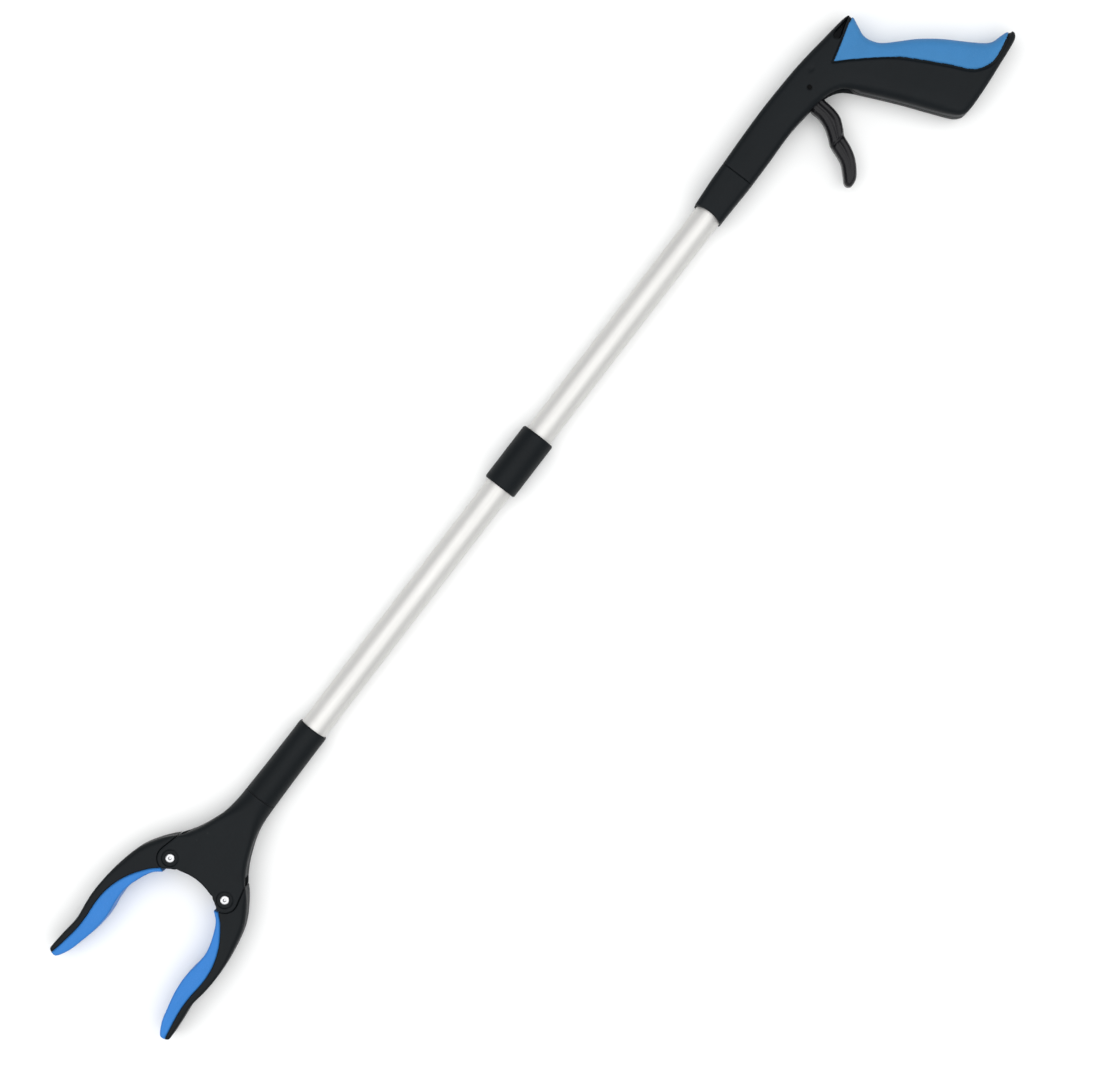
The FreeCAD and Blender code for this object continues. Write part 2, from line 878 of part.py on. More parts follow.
def ear_tangent(radius, offset):
    """Where the straight edge from the notch meets a circle about the jaw's rivet.

    The second value is the notch corner itself, moved outward by the offset.
    """
    centre = (number("jaw_pin_x"), number("jaw_pin_y"))
    corner = YOKE_SIDE[-1]
    reach = math.dist(centre, corner)
    to_corner = math.degrees(math.atan2(corner[1] - centre[1], corner[0] - centre[0]))
    normal = to_corner - math.degrees(math.acos(number("ear_radius") / reach))
    turn = math.radians(normal)
    moved = (corner[0] + offset * math.cos(turn), corner[1] + offset * math.sin(turn))
    return point_on(centre, radius, normal), moved, normal


def throat_corner():
    """Where the ear's arc meets the throat's arc, on the jaw's side of the rivet."""
    centre = (number("jaw_pin_x"), number("jaw_pin_y"))
    throat = (number("throat_x"), 0.0)
    ear, wide = number("ear_radius"), number("throat_radius")
    apart = math.dist(centre, throat)
    along = (wide**2 - ear**2 + apart**2) / (2 * apart)
    across = math.sqrt(wide**2 - along**2)
    ux, uy = (centre[0] - throat[0]) / apart, (centre[1] - throat[1]) / apart
    return (throat[0] + ux * along + uy * across, throat[1] + uy * along - ux * across)


def flipped(points):
    return [(x, -y) for x, y in points]


def yoke_outline(sketch):
    start = number("yoke_start")
    neck = number("socket_seam_radius")
    centre = (number("jaw_pin_x"), number("jaw_pin_y"))
    tangent, notch, normal = ear_tangent(number("ear_radius"), 0)
    corner = throat_corner()
    last = math.degrees(math.atan2(corner[1] - centre[1], corner[0] - centre[0]))
    crown = point_on(centre, number("ear_radius"), (normal + last) / 2)
    apex = (number("throat_x") - number("throat_radius"), 0)
    upper = [[(start, neck)], YOKE_SIDE, [tangent], [crown, corner]]
    lower_ear = [flipped([crown])[0], flipped([tangent])[0]]
    side_back = flipped(YOKE_SIDE[:-1])[::-1] + [(start, -neck)]
    outline(sketch, upper + [[apex, flipped([corner])[0]], lower_ear, [flipped([notch])[0]], side_back])


def yoke_cavity(sketch):
    """The space between the plates: closed at the sides and the throat, open at the jaws."""
    inner = number("throat_radius") + number("throat_wall")
    wall_x = number("throat_x") - math.sqrt(inner**2 - THROAT_WALL_HALF**2)
    apex = (number("throat_x") - inner, 0)
    start = number("spring_seat")
    mouth = CAVITY_SIDE[-1][0]
    upper = [(start, CAVITY_NECK)] + CAVITY_SIDE + [(mouth, CAVITY_OUT), (CAVITY_END, CAVITY_OUT)]
    upper += [(CAVITY_END, THROAT_WALL_HALF), (wall_x, THROAT_WALL_HALF)]
    lower = flipped(upper)[::-1]
    pieces = [[point] for point in upper] + [[apex, lower[0]]] + [[point] for point in lower[1:]]
    outline(sketch, pieces)


def make_yoke_shell(label, sign):
    """One half of the head: a plate with two ears, side walls and rails for the slider."""
    half = size("yoke_half")
    inner = half - size("yoke_plate")
    start, seat = size("yoke_start"), size("spring_seat")
    ears = [(size("jaw_pin_x"), size("jaw_pin_y")), (size("jaw_pin_x"), -size("jaw_pin_y"))]
    body = new_body(label)
    add_slab(body, *half_span(sign, 0, half), yoke_outline)
    face = rim(number("yoke_half"))
    round_edges(body, YOKE_ROUNDING, lambda middle, edge: face(middle, edge) and middle.x < ROUNDING_END)
    taper = [(start - 1, half), (start - 1, size("socket_seam_radius")), (NECK_TAPER_END, half)]
    if sign < 0:
        taper = [(x, -as_size(z)) for x, z in taper]
    cut_slab(body, -THROAT_WALL_HALF, THROAT_WALL_HALF, lambda s: polygon(s, taper), "XZ_Plane")
    cut_slab(body, *half_span(sign, 0, inner), yoke_cavity)
    flange, spigot = size("flange_radius") + NECK_GAP, size("spigot_radius") + NECK_GAP
    flange_back, flange_front = size("flange_start") - NECK_GAP, size("spigot_end") + NECK_GAP
    neck = [
        (start - 1, 0),
        (seat + 1, 0),
        (seat + 1, size("cable_passage")),
        (flange_front, size("cable_passage")),
        (flange_front, flange),
        (flange_back, flange),
        (flange_back, spigot),
        (start - 1, spigot),
    ]
    cut_turned(body, neck)
    stand = half_span(sign, 0, inner + RAIL_BITE)
    for low, high in ((RAIL_LOW, RAIL_HIGH), (-RAIL_HIGH, -RAIL_LOW)):
        add_slab(body, *stand, rectangle(RAIL_START, RAIL_END, low, high))
    add_slab(body, *stand, circles(YOKE_SCREW_PLACES, size("post_radius")))
    cut_slab(body, *half_span(sign, 0, half), circles(ears, size("jaw_pin_radius")))
    well = half_span(sign, half - size("rivet_well_depth"), half)
    cut_slab(body, *well, circles(ears, size("rivet_well")))
    screw_hole = circles(YOKE_SCREW_PLACES, size("screw_radius"))
    if sign < 0:
        cut_slab(body, *half_span(sign, 0, half), screw_hole)
        recess = half_span(sign, half - size("screw_recess"), half)
        cut_slab(body, *recess, circles(YOKE_SCREW_PLACES, size("screw_head_radius")))
    else:
        cut_slab(body, *half_span(sign, 0, size("tongue_half")), screw_hole)

# ---------------------------------------------------------------- jaws

JAW_BACK = [
    (338.3, 31.3),
    (345.3, 36.9),
    (355.3, 42.9),
    (365.3, 46.2),
    (380, 48.9),
    (395.3, 50.1),
    (407, 49.6),
    (420, 48),
    (433, 49.2),
    (444, 50),
]
JAW_TIP = [(447, 49.7), (448.5, 47.6)]
JAW_SEAM = [
    (436, 45.3),
    (425.3, 43.9),
    (415.3, 43.8),
    (405.3, 44.6),
    (395.3, 44.3),
    (385.3, 42),
    (375.3, 37.5),
    (365.3, 30.4),
    (359.5, 24.3),
]
PAD_FACE = [
    (366, 27),
    (375.8, 31.6),
    (385.6, 34.3),
    (395.3, 34.2),
    (403, 33.1),
    (411, 32.9),
    (421, 34),
    (431, 36.3),
    (439, 38.4),
    (445.2, 41.3),
]
PAD_ROOT = (360.7, 21.2)
PAD_TIP = [(448.3, 43.6), (448.8, 45.5), (448.5, 47.6)]
JAW_WEB = [(337.4, 29.1), (344.4, 20.4), (356.9, 22.4), (361.2, 28), (356, 38)]
JAW_ROUNDING = 2.0
OUTER_EDGE = 47.0
TAIL_ROOT = 3.0


def jaw_sides(side):
    """The points of a drawing on the upper jaw, or their mirror image on the lower."""
    return (lambda points: points) if side > 0 else flipped


def make_jaw(label, side):
    """A jaw arm: the thick arm outside the yoke's ear, the thin root between its plates."""
    place_points = jaw_sides(side)
    centre = (number("jaw_pin_x"), number("jaw_pin_y"))
    gap_radius = number("ear_radius") + number("jaw_gap")
    tangent, notch, normal = ear_tangent(gap_radius, number("jaw_gap"))
    first = JAW_SEAM[-1]
    last = math.degrees(math.atan2(first[1] - centre[1], first[0] - centre[0]))
    meet = point_on(centre, gap_radius, last)
    crown = point_on(centre, gap_radius, (normal + last) / 2)

    def arm(sketch):
        pieces = [JAW_BACK, JAW_TIP, JAW_SEAM, [meet], [crown, tangent], [notch]]
        outline(sketch, [place_points(piece) for piece in pieces])

    half, root = size("jaw_half"), size("jaw_root_half")
    hub = (size("jaw_pin_x"), size("jaw_pin_y") if side > 0 else -size("jaw_pin_y"))
    tail = straight(tail_points(side))
    body = new_body(label)
    add_slab(body, -half, half, arm)
    face = rim(number("jaw_half"))
    round_edges(body, JAW_ROUNDING, lambda middle, edge: face(middle, edge) and abs(middle.y) > OUTER_EDGE)
    add_slab(body, -root, root, straight(place_points(JAW_WEB)))
    add_slab(body, -root, root, circles([hub], size("jaw_hub")))
    cheek = size("slider_half") + size("slider_gap")
    for sign in (1, -1):
        add_slab(body, *half_span(sign, cheek, root), tail)
        add_slab(body, *half_span(sign, cheek, root), circles([tail_pin(side)], size("tail_radius")))
    add_slab(body, -root, root, circles([tail_pin(side)], size("tail_pin")))
    cut_slab(body, -half, half, circles([hub], size("jaw_pin_radius") + size("running_gap")))


def tail_pin(side):
    """The centre of the tail's pin at rest, with the jaw open."""
    turn = math.radians(number("tail_angle"))
    length = number("tail_length")
    x = number("jaw_pin_x") - length * math.sin(turn)
    return (x, side * (number("jaw_pin_y") - length * math.cos(turn)))


def tail_points(side):
    """The straight sides of the tail's cheeks, from the hub to the pin."""
    turn = math.radians(number("tail_angle"))
    wide = number("tail_radius")
    along = (-math.sin(turn), -math.cos(turn))
    across = (math.cos(turn), -math.sin(turn))
    hub = (number("jaw_pin_x"), number("jaw_pin_y"))
    points = []
    far = number("tail_length")
    for reach, sideways in ((TAIL_ROOT, -1), (TAIL_ROOT, 1), (far, 1), (far, -1)):
        x = hub[0] + along[0] * reach + across[0] * wide * sideways
        y = hub[1] + along[1] * reach + across[1] * wide * sideways
        points.append((x, side * y))
    return points


def make_jaw_pad(label, side):
    """The soft pad along the jaw's inside."""
    place_points = jaw_sides(side)
    body = new_body(label)

    pieces = [place_points(piece) for piece in ([PAD_ROOT], PAD_FACE, PAD_TIP, JAW_SEAM)]
    add_slab(body, -size("pad_half"), size("pad_half"), lambda sketch: outline(sketch, pieces))


# ---------------------------------------------------------------- slider and spring

SLIDER_HALF_WIDTH = 6.0
SPINE_FRONT = 349.0
CROSS_BACK = 341.4
PRONG_FRONT = 349.7
PRONG_START = 7.0
PRONG_REACH = 14.6
SLOT_START = 8.3
POCKET_BACK = 338.0
POCKET_FRONT = 343.6
POCKET_GAP = 0.1
BORE_GAP = 0.3
SPRING_GAP = 0.1


def make_slider():
    """The plate that the cable pulls; the tails of both jaws ride in its two slots."""
    body = new_body("pull_slider")
    half = size("slider_half")
    pin_x = tail_pin(1)[0]
    reach = number("tail_pin") + number("slot_gap")
    back, wide = size("slider_back"), SLIDER_HALF_WIDTH
    add_slab(body, -half, half, rectangle(back, SPINE_FRONT, -wide, wide))
    add_slab(body, -half, half, rectangle(CROSS_BACK, SPINE_FRONT, -PRONG_REACH, PRONG_REACH))
    for low, high in ((PRONG_START, PRONG_REACH), (-PRONG_REACH, -PRONG_START)):
        add_slab(body, -half, half, rectangle(CROSS_BACK, PRONG_FRONT, low, high))
    outside = PRONG_REACH + 1
    for low, high in ((SLOT_START, outside), (-outside, -SLOT_START)):
        cut_slab(body, -half, half, rectangle(pin_x - reach, pin_x + reach, low, high))
    stop = size("stop_radius") + POCKET_GAP
    cut_slab(body, -stop, half, rectangle(POCKET_BACK, POCKET_FRONT, -stop, stop))
    cut_turned(body, bore(back - 1, POCKET_BACK + 1, size("cable_radius") + BORE_GAP))


def make_spring():
    """The coil spring between the yoke's wall and the slider."""
    body = new_body("return_spring")
    coil, wire, pitch = size("spring_coil"), size("spring_wire"), size("spring_pitch")
    start = size("spring_seat") + wire + SPRING_GAP
    sketch = new_sketch(body, "XY_Plane", None, lambda sketch: circle(sketch, start, coil, wire))
    made = feature(body, "AdditiveHelix", sketch)
    made.ReferenceAxis = (sketch, ["H_Axis"])
    made.Mode = "pitch-height-angle"
    made.setExpression("Pitch", pitch.text)
    made.setExpression("Height", (size("slider_back") - wire - SPRING_GAP * 2 - start).text)
    doc.recompute()


# ---------------------------------------------------------------- pins, screws and rivets

SCREW_LENGTH = 16.0
PIN_INSET = 0.5
SCREW_HEAD_GAP = 0.1
RIVET_HEAD_HEIGHT = 1.2


def make_trigger_pin():
    reach = size("handle_half") - PIN_INSET
    start = (-size("trigger_pin_x"), size("trigger_pin_y"), -reach)
    steps = [(size("trigger_pin_radius"), reach * 2)]
    single("trigger_pin", stepped_pin("trigger_pin", start, UP, steps))


def make_cable_barrel():
    start = (*barrel_centre(), -size("barrel_half"))
    steps = [(size("barrel_radius"), size("barrel_half") * 2)]
    single("cable_barrel", stepped_pin("barrel", start, UP, steps))


def make_screws(label, places):
    """Pan-head screws driven up from the lower face."""
    head_at = size("screw_recess") - size("screw_head") - size("handle_half")
    head = (size("screw_head_radius") - SCREW_HEAD_GAP, size("screw_head"))
    steps = [head, (size("screw_radius"), SCREW_LENGTH)]
    pins = []
    for index, (x, y) in enumerate(places):
        pins.append(stepped_pin(f"{label}_{index}", (x, y, head_at), UP, steps))
    group(label, pins)


def make_jaw_rivets():
    """A rivet through both plates for each jaw, with a head in the well of each face."""
    face = size("yoke_half") - size("rivet_well_depth")
    head = (size("jaw_rivet_head"), RIVET_HEAD_HEIGHT)
    steps = [head, (size("jaw_pin_radius"), face * 2), head]
    rivets = []
    for name, y in (("left", size("jaw_pin_y")), ("right", -size("jaw_pin_y"))):
        start = (size("jaw_pin_x"), y, -face - RIVET_HEAD_HEIGHT)
        rivets.append(stepped_pin(f"jaw_rivet_{name}", start, UP, steps))
    group("jaw_rivets", rivets)


# ---------------------------------------------------------------- the whole tool

make_handle_shell("handle_shell_front", 1)
make_handle_shell("handle_shell_back", -1)
make_palm_grip()
make_nose_sleeve()
make_screws("handle_screws", SCREW_PLACES)
make_trigger_pin()
make_trigger()
make_cable_barrel()
make_upper_cable()
make_cable_guides()
make_tubes()
make_hinge_plug("hinge_plug_upper", -1)
make_hinge_plug("hinge_plug_lower", 1)
make_fold_link()
fold_rivets("hinge_rivets_upper", -size("fold_pin_x"))
fold_rivets("hinge_rivets_lower", size("fold_pin_x"))
link_end = size("fold_pin_x") - CABLE_TRAVEL - CABLE_GAP
make_rod("cable_link", CABLE_GAP - size("fold_pin_x"), link_end, size("cable_radius"))
make_socket()
make_socket_screw()
make_yoke_shell("yoke_shell_front", 1)
make_yoke_shell("yoke_shell_back", -1)
make_screws("yoke_screws", YOKE_SCREW_PLACES)
make_jaw_rivets()
make_jaw("jaw_left", 1)
make_jaw_pad("jaw_pad_left", 1)
make_jaw("jaw_right", -1)
make_jaw_pad("jaw_pad_right", -1)
make_slider()
make_rod("cable_lower", size("fold_pin_x"), POCKET_FRONT - STOP_GAP * 2, size("cable_radius"))
stop = ring(POCKET_BACK + STOP_GAP, POCKET_FRONT - STOP_GAP * 3, size("cable_radius"), size("stop_radius"))
add_turned(new_body("cable_stop"), stop)
make_spring()

# ---------------------------------------------------------------- write the pieces

doc.recompute()
for thing in doc.Objects:
    if "Invalid" in thing.State or "Error" in thing.State:
        raise ValueError(f"{thing.Name} ({thing.Label}) failed: {thing.State}")

os.makedirs("parts", exist_ok=True)
total = FreeCAD.BoundBox()
for subpart in SUBPARTS:
    shape = subpart.Shape
    if shape.isNull() or not shape.isValid():
        raise ValueError(f"{subpart.Label} has no valid shape")
    shape.exportStep(f"parts/{subpart.Label}.step")
    total.add(shape.BoundBox)
    print(f"{subpart.Label:22s} {len(shape.Solids)} solid {shape.Volume:10.1f} mm3")
print(f"X {total.XMin:.3f} {total.XMax:.3f}")
print(f"Y {total.YMin:.3f} {total.YMax:.3f}")
print(f"Z {total.ZMin:.3f} {total.ZMax:.3f}")
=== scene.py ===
import json
import math

import bmesh
import bpy
import numpy as np
from mathutils import Matrix, Vector


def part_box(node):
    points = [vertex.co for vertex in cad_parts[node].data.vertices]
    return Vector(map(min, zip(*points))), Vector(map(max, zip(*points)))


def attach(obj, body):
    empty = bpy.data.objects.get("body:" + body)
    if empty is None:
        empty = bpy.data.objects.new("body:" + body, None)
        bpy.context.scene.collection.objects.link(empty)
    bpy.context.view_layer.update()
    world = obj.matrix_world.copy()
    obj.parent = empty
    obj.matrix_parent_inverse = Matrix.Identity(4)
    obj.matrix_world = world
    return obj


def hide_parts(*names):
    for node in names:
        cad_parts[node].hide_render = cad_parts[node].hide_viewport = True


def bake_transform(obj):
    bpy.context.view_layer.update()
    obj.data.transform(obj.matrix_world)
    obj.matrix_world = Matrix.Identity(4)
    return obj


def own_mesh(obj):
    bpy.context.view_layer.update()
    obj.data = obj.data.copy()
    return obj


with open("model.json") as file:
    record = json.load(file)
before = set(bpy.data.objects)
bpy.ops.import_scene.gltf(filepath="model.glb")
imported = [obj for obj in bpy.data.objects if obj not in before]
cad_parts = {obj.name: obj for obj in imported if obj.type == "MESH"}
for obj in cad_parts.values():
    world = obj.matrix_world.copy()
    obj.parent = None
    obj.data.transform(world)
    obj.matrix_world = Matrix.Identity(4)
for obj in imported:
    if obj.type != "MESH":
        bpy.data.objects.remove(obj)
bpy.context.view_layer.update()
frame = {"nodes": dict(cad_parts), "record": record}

# A folding reacher grabber. Outlines and levels are in millimetres from the middle of the fold
# joint, on the tube's axis: x runs to the jaws, y to the trigger's side and z up, out of the
# plane that the jaws move in. Every mesh is put into the frame's metres when it is made.

JOINTS = {joint["name"]: joint for joint in frame["record"]["behaviour"]["joints"]}
MM = 0.001


def pivot(joint):
    return Vector(JOINTS[joint]["pos_m"])


ORIGIN = (pivot("fold_upper") + pivot("fold_lower")) / 2


def local(point):
    """A point of the frame in millimetres from the fold's middle."""
    return (Vector(point) - ORIGIN) / MM


def corners(*nodes):
    """The lowest and highest corner of some CAD nodes, in millimetres from the fold's middle."""
    lows, highs = zip(*[[local(corner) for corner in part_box(node)] for node in nodes])
    low = Vector([min(values) for values in zip(*lows)])
    high = Vector([max(values) for values in zip(*highs)])
    return low, high


# ---------------------------------------------------------------- solid forms on a grid


class Block:
    """A box of space cut into small cubes; a form is a signed distance on its corners."""

    def __init__(self, low, high, step):
        self.low, self.step = np.array(low, float), step
        counts = np.ceil((np.array(high, float) - self.low) / step).astype(int) + 1
        axes = [start + step * np.arange(count) for start, count in zip(self.low, counts)]
        self.x, self.y, self.z = np.meshgrid(*axes, indexing="ij", sparse=True)


def block_round(nodes, step, margin=1.5):
    """A block round some CAD nodes, with a margin on every side."""
    low, high = corners(*nodes)
    grow = Vector((margin, margin, margin))
    return Block(low - grow, high + grow, step)


def smooth(points, closed=False, cuts=6):
    """Points along a smooth curve through the given ones."""
    points = [Vector(point) for point in points]
    if closed:
        padded = [points[-1]] + points + points[:2]
    else:
        padded = [points[0] * 2 - points[1]] + points + [points[-1] * 2 - points[-2]]
    line = []
    for before, start, end, after in zip(padded, padded[1:], padded[2:], padded[3:]):
        for cut in range(cuts):
            t = cut / cuts
            line.append(
                start
                + (end - before) * (t / 2)
                + (before * 2 - start * 5 + end * 4 - after) * (t * t / 2)
                + (start * 3 - before - end * 3 + after) * (t**3 / 2)
            )
    return line if closed else line + [points[-1]]


def arc(centre, radius, start, end, cuts=16):
    """Points along an arc between two angles in degrees."""
    turns = [math.radians(start + (end - start) * cut / cuts) for cut in range(cuts + 1)]
    return [Vector(centre) + Vector((math.cos(turn), math.sin(turn))) * radius for turn in turns]


def outline(block, points):
    """Signed distance, in the plane of x and y, to a closed outline."""
    x, y = np.broadcast_arrays(block.x[..., 0], block.y[..., 0])
    nearest = np.full(x.shape, np.inf)
    inside = np.zeros(x.shape, bool)
    points = [tuple(point) for point in points]
    for (x0, y0), (x1, y1) in zip(points, points[1:] + points[:1]):
        across, rise = x1 - x0, y1 - y0
        length = across**2 + rise**2
        if length < 1e-9:
            continue
        along = np.clip(((x - x0) * across + (y - y0) * rise) / length, 0, 1)
        nearest = np.minimum(nearest, (x - x0 - along * across) ** 2 + (y - y0 - along * rise) ** 2)
        if rise:
            inside ^= ((y0 > y) != (y1 > y)) & (x < x0 + (y - y0) * across / rise)
    distance = np.sqrt(nearest)
    return np.where(inside, -distance, distance)[..., None]


def ease(value, start, end):
    """0 before start, 1 after end, smooth between."""
    t = np.clip((value - start) / (end - start), 0, 1)
    return t * t * (3 - 2 * t)


def common(a, b, radius):
    """What lies in both forms, with its edge rounded."""
    u, v = a + radius, b + radius
    return np.minimum(np.maximum(u, v), 0) + np.hypot(np.maximum(u, 0), np.maximum(v, 0)) - radius


def joined(a, b, radius):
    """Both forms, with a fillet between them."""
    return -common(-a, -b, radius)


def carved(a, b, radius):
    """The first form less the second, with the rim rounded."""
    return common(a, -b, radius)


def post(block, centre, radius):
    """An endless round post along z."""
    return np.hypot(block.x - centre[0], block.y - centre[1]) - radius


def rod(block, radius):
    """An endless round rod along the tube's axis."""
    return np.hypot(block.y, block.z) - radius


def bar(block, low, high):
    """A rectangular block between two corners; None leaves a side open."""
    sides = []
    for value, start, end in zip((block.x, block.y, block.z), low, high):
        if start is not None:
            sides.append(start - value)
        if end is not None:
            sides.append(value - end)
    shape = sides[0]
    for side in sides[1:]:
        shape = np.maximum(shape, side)
    return shape


STEPS = [(i, j, k) for i in (0, 1) for j in (0, 1) for k in (0, 1)]
PAIRS = [(a, b) for a in STEPS for b in STEPS if a < b]
CUBE_EDGES = [(a, b) for a, b in PAIRS if sum(abs(p - q) for p, q in zip(a, b)) == 1]


def net(block, field):
    """The surface where a form's distance is zero, as points and four-sided faces."""
    inside = field < 0
    size = np.array(field.shape) - 1
    filled = np.zeros(size, np.int8)
    for i, j, k in STEPS:
        filled += inside[i : size[0] + i, j : size[1] + j, k : size[2] + k]
    cells = np.argwhere((filled > 0) & (filled < len(STEPS)))
    values = {step: field[tuple((cells + step).T)] for step in STEPS}
    total = np.zeros((len(cells), 3))
    hits = np.zeros((len(cells), 1))
    for a, b in CUBE_EDGES:
        crosses = ((values[a] < 0) != (values[b] < 0))[:, None]
        gap = (values[a] - values[b])[:, None]
        share = np.where(crosses, values[a][:, None] / np.where(crosses, gap, 1), 0)
        total += crosses * (np.array(a) + share * (np.array(b) - np.array(a)))
        hits += crosses
    points = block.low + block.step * (cells + total / hits)
    number = np.full(size, -1)
    number[tuple(cells.T)] = np.arange(len(cells))
    faces = []
    unit = np.eye(3, dtype=int)
    for axis in range(3):
        second, third = unit[(axis + 1) % 3], unit[(axis + 2) % 3]
        ahead = np.take(inside, range(1, size[axis] + 1), axis=axis)
        here = np.take(inside, range(size[axis]), axis=axis)
        starts = np.argwhere(ahead != here)
        room = (starts >= second + third).all(1) & (starts < size).all(1)
        starts = starts[room]
        around = [starts - second - third, starts - third, starts, starts - second]
        quads = np.stack([number[tuple(cell.T)] for cell in around], axis=1)
        outward = inside[tuple(starts.T)]
        faces.append(np.where(outward[:, None], quads, quads[:, ::-1]))
    return points, np.concatenate(faces)


def mesh_object(name, points, faces, place=Matrix.Identity(4)):
    """An object from points in millimetres; place moves them before they go into the frame."""
    move = Matrix.Translation(ORIGIN) @ Matrix.Scale(MM, 4) @ place
    matrix = np.array(move)
    points = np.asarray(points, float) @ matrix[:3, :3].T + matrix[:3, 3]
    mesh = bpy.data.meshes.new(name)
    mesh.from_pydata(points.tolist(), [], [list(map(int, face)) for face in faces])
    if move.determinant() < 0:
        mesh.flip_normals()
    mesh.shade_smooth()
    piece = bpy.data.objects.new(name, mesh)
    bpy.context.scene.collection.objects.link(piece)
    return piece


def finish_piece(piece, body, material, slot, *nodes):
    """Give a piece its material, its body and the CAD nodes that it stands for."""
    piece.data.materials.append(material)
    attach(piece, body)
    if nodes:
        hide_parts(*nodes)
    return piece


def mould(name, block, field, place=Matrix.Identity(4)):
    """An object with the surface of a form."""
    return mesh_object(name, *net(block, field), place)


# ---------------------------------------------------------------- turned pieces

TURN_SEGMENTS = 72
CORNER_SHARE = 0.45
WELD = 0.02


def soften(profile, radius, cuts=4):
    """A closed profile with each corner replaced by a small curve."""
    line = []
    count = len(profile)
    for index in range(count):
        before, corner, after = (Vector(profile[(index + shift) % count]) for shift in (-1, 0, 1))
        back, ahead = before - corner, after - corner
        reach = min(radius, back.length * CORNER_SHARE, ahead.length * CORNER_SHARE)
        start, end = corner + back.normalized() * reach, corner + ahead.normalized() * reach
        for cut in range(cuts + 1):
            t = cut / cuts
            line.append(start * (1 - t) ** 2 + corner * (2 * t * (1 - t)) + end * t**2)
    return line


def lathe(profile):
    """Points and faces of a closed profile of (along x, radius) points turned about the x axis."""
    points, faces = [], []
    for turn in range(TURN_SEGMENTS):
        angle = 2 * math.pi * turn / TURN_SEGMENTS
        points += [(x, r * math.cos(angle), r * math.sin(angle)) for x, r in profile]
    count = len(profile)
    for turn in range(TURN_SEGMENTS):
        here, ahead = turn * count, (turn + 1) % TURN_SEGMENTS * count
        for index in range(count):
            after = (index + 1) % count
            faces.append((here + index, here + after, ahead + after, ahead + index))
    return points, faces


def weld(piece):
    """Merge the points that a lathe leaves on its axis."""
    shape = bmesh.new()
    shape.from_mesh(piece.data)
    bmesh.ops.remove_doubles(shape, verts=shape.verts, dist=WELD * MM)
    bmesh.ops.recalc_face_normals(shape, faces=shape.faces)
    shape.to_mesh(piece.data)
    shape.free()
    piece.data.shade_smooth()


def turned(name, profile, place=Matrix.Identity(4)):
    """An object with a closed profile turned about the tube's axis."""
    piece = mesh_object(name, *lathe(profile), place)
    weld(piece)
    return piece


# ---------------------------------------------------------------- materials


def shader(name):
    """A new material with its node tree and its Principled node."""
    material = bpy.data.materials.new(name)
    material.use_nodes = True
    tree = material.node_tree
    principled = next(node for node in tree.nodes if node.type == "BSDF_PRINCIPLED")
    return material, tree, principled


def coordinates(tree, stretch=(1, 1, 1)):
    """The piece's own coordinates, in metres, stretched along each axis."""
    source = tree.nodes.new("ShaderNodeTexCoord")
    mapping = tree.nodes.new("ShaderNodeMapping")
    mapping.inputs["Scale"].default_value = stretch
    tree.links.new(source.outputs["Object"], mapping.inputs["Vector"])
    return mapping.outputs["Vector"]


def noise(tree, vector, scale, detail=3.0, roughness=0.55):
    node = tree.nodes.new("ShaderNodeTexNoise")
    node.inputs["Scale"].default_value = scale
    node.inputs["Detail"].default_value = detail
    node.inputs["Roughness"].default_value = roughness
    tree.links.new(vector, node.inputs["Vector"])
    return node.outputs["Fac"]


def remap(tree, value, low, high, start=0.3, end=0.7):
    """A value from start to end turned into one from low to high."""
    node = tree.nodes.new("ShaderNodeMapRange")
    for name, number in (("From Min", start), ("From Max", end), ("To Min", low), ("To Max", high)):
        node.inputs[name].default_value = number
    tree.links.new(value, node.inputs["Value"])
    return node.outputs["Result"]


def blend_colours(tree, share, first, second):
    node = tree.nodes.new("ShaderNodeMix")
    node.data_type = "RGBA"
    tree.links.new(share, node.inputs["Factor"])
    for socket, colour in (("A", first), ("B", second)):
        target = [item for item in node.inputs if item.name == socket and item.type == "RGBA"][0]
        if isinstance(colour, tuple):
            target.default_value = (*colour, 1)
        else:
            tree.links.new(colour, target)
    return [item for item in node.outputs if item.type == "RGBA"][0]


def bumps(tree, principled, layers):
    """Chain bump nodes: each layer is (height, strength, distance in metres)."""
    normal = None
    for height, strength, distance in layers:
        node = tree.nodes.new("ShaderNodeBump")
        node.inputs["Strength"].default_value = strength
        node.inputs["Distance"].default_value = distance
        tree.links.new(height, node.inputs["Height"])
        if normal is not None:
            tree.links.new(normal, node.inputs["Normal"])
        normal = node.outputs["Normal"]
    tree.links.new(normal, principled.inputs["Normal"])


EDGE_POINTINESS = (0.52, 0.60)
# Each noise is (scale, detail) or (scale, detail, roughness), on coordinates in metres.
# The edge mask below lightens convex edges: partly rubbed wear, partly a painted highlight along ridges.
WEAR_AND_HIGHLIGHT_NOISE = (90, 4)
WEAR_AND_HIGHLIGHT_PATCHES = (0.42, 0.62)


def edge_wear_and_highlight(tree):
    """From 0 to 1 towards convex edges, broken up by noise: partly rubbed wear, partly a painted highlight
    along ridges.
    """
    geometry = tree.nodes.new("ShaderNodeNewGeometry")
    edge = remap(tree, geometry.outputs["Pointiness"], 0, 1, *EDGE_POINTINESS)
    patches = remap(tree, noise(tree, coordinates(tree), *WEAR_AND_HIGHLIGHT_NOISE), 0, 1, *WEAR_AND_HIGHLIGHT_PATCHES)
    product = tree.nodes.new("ShaderNodeMath")
    product.operation = "MULTIPLY"
    tree.links.new(edge, product.inputs[0])
    tree.links.new(patches, product.inputs[1])
    return product.outputs["Value"]


def shades(colour, dark, light):
    """A darker and a lighter shade of a colour."""
    return tuple(part * dark for part in colour), tuple(part * light for part in colour)


def roughen(tree, principled, value, gloss, spread):
    """Roughness that varies round a middle value."""
    low, high = spread
    tree.links.new(remap(tree, value, gloss - low, gloss + high), principled.inputs["Roughness"])


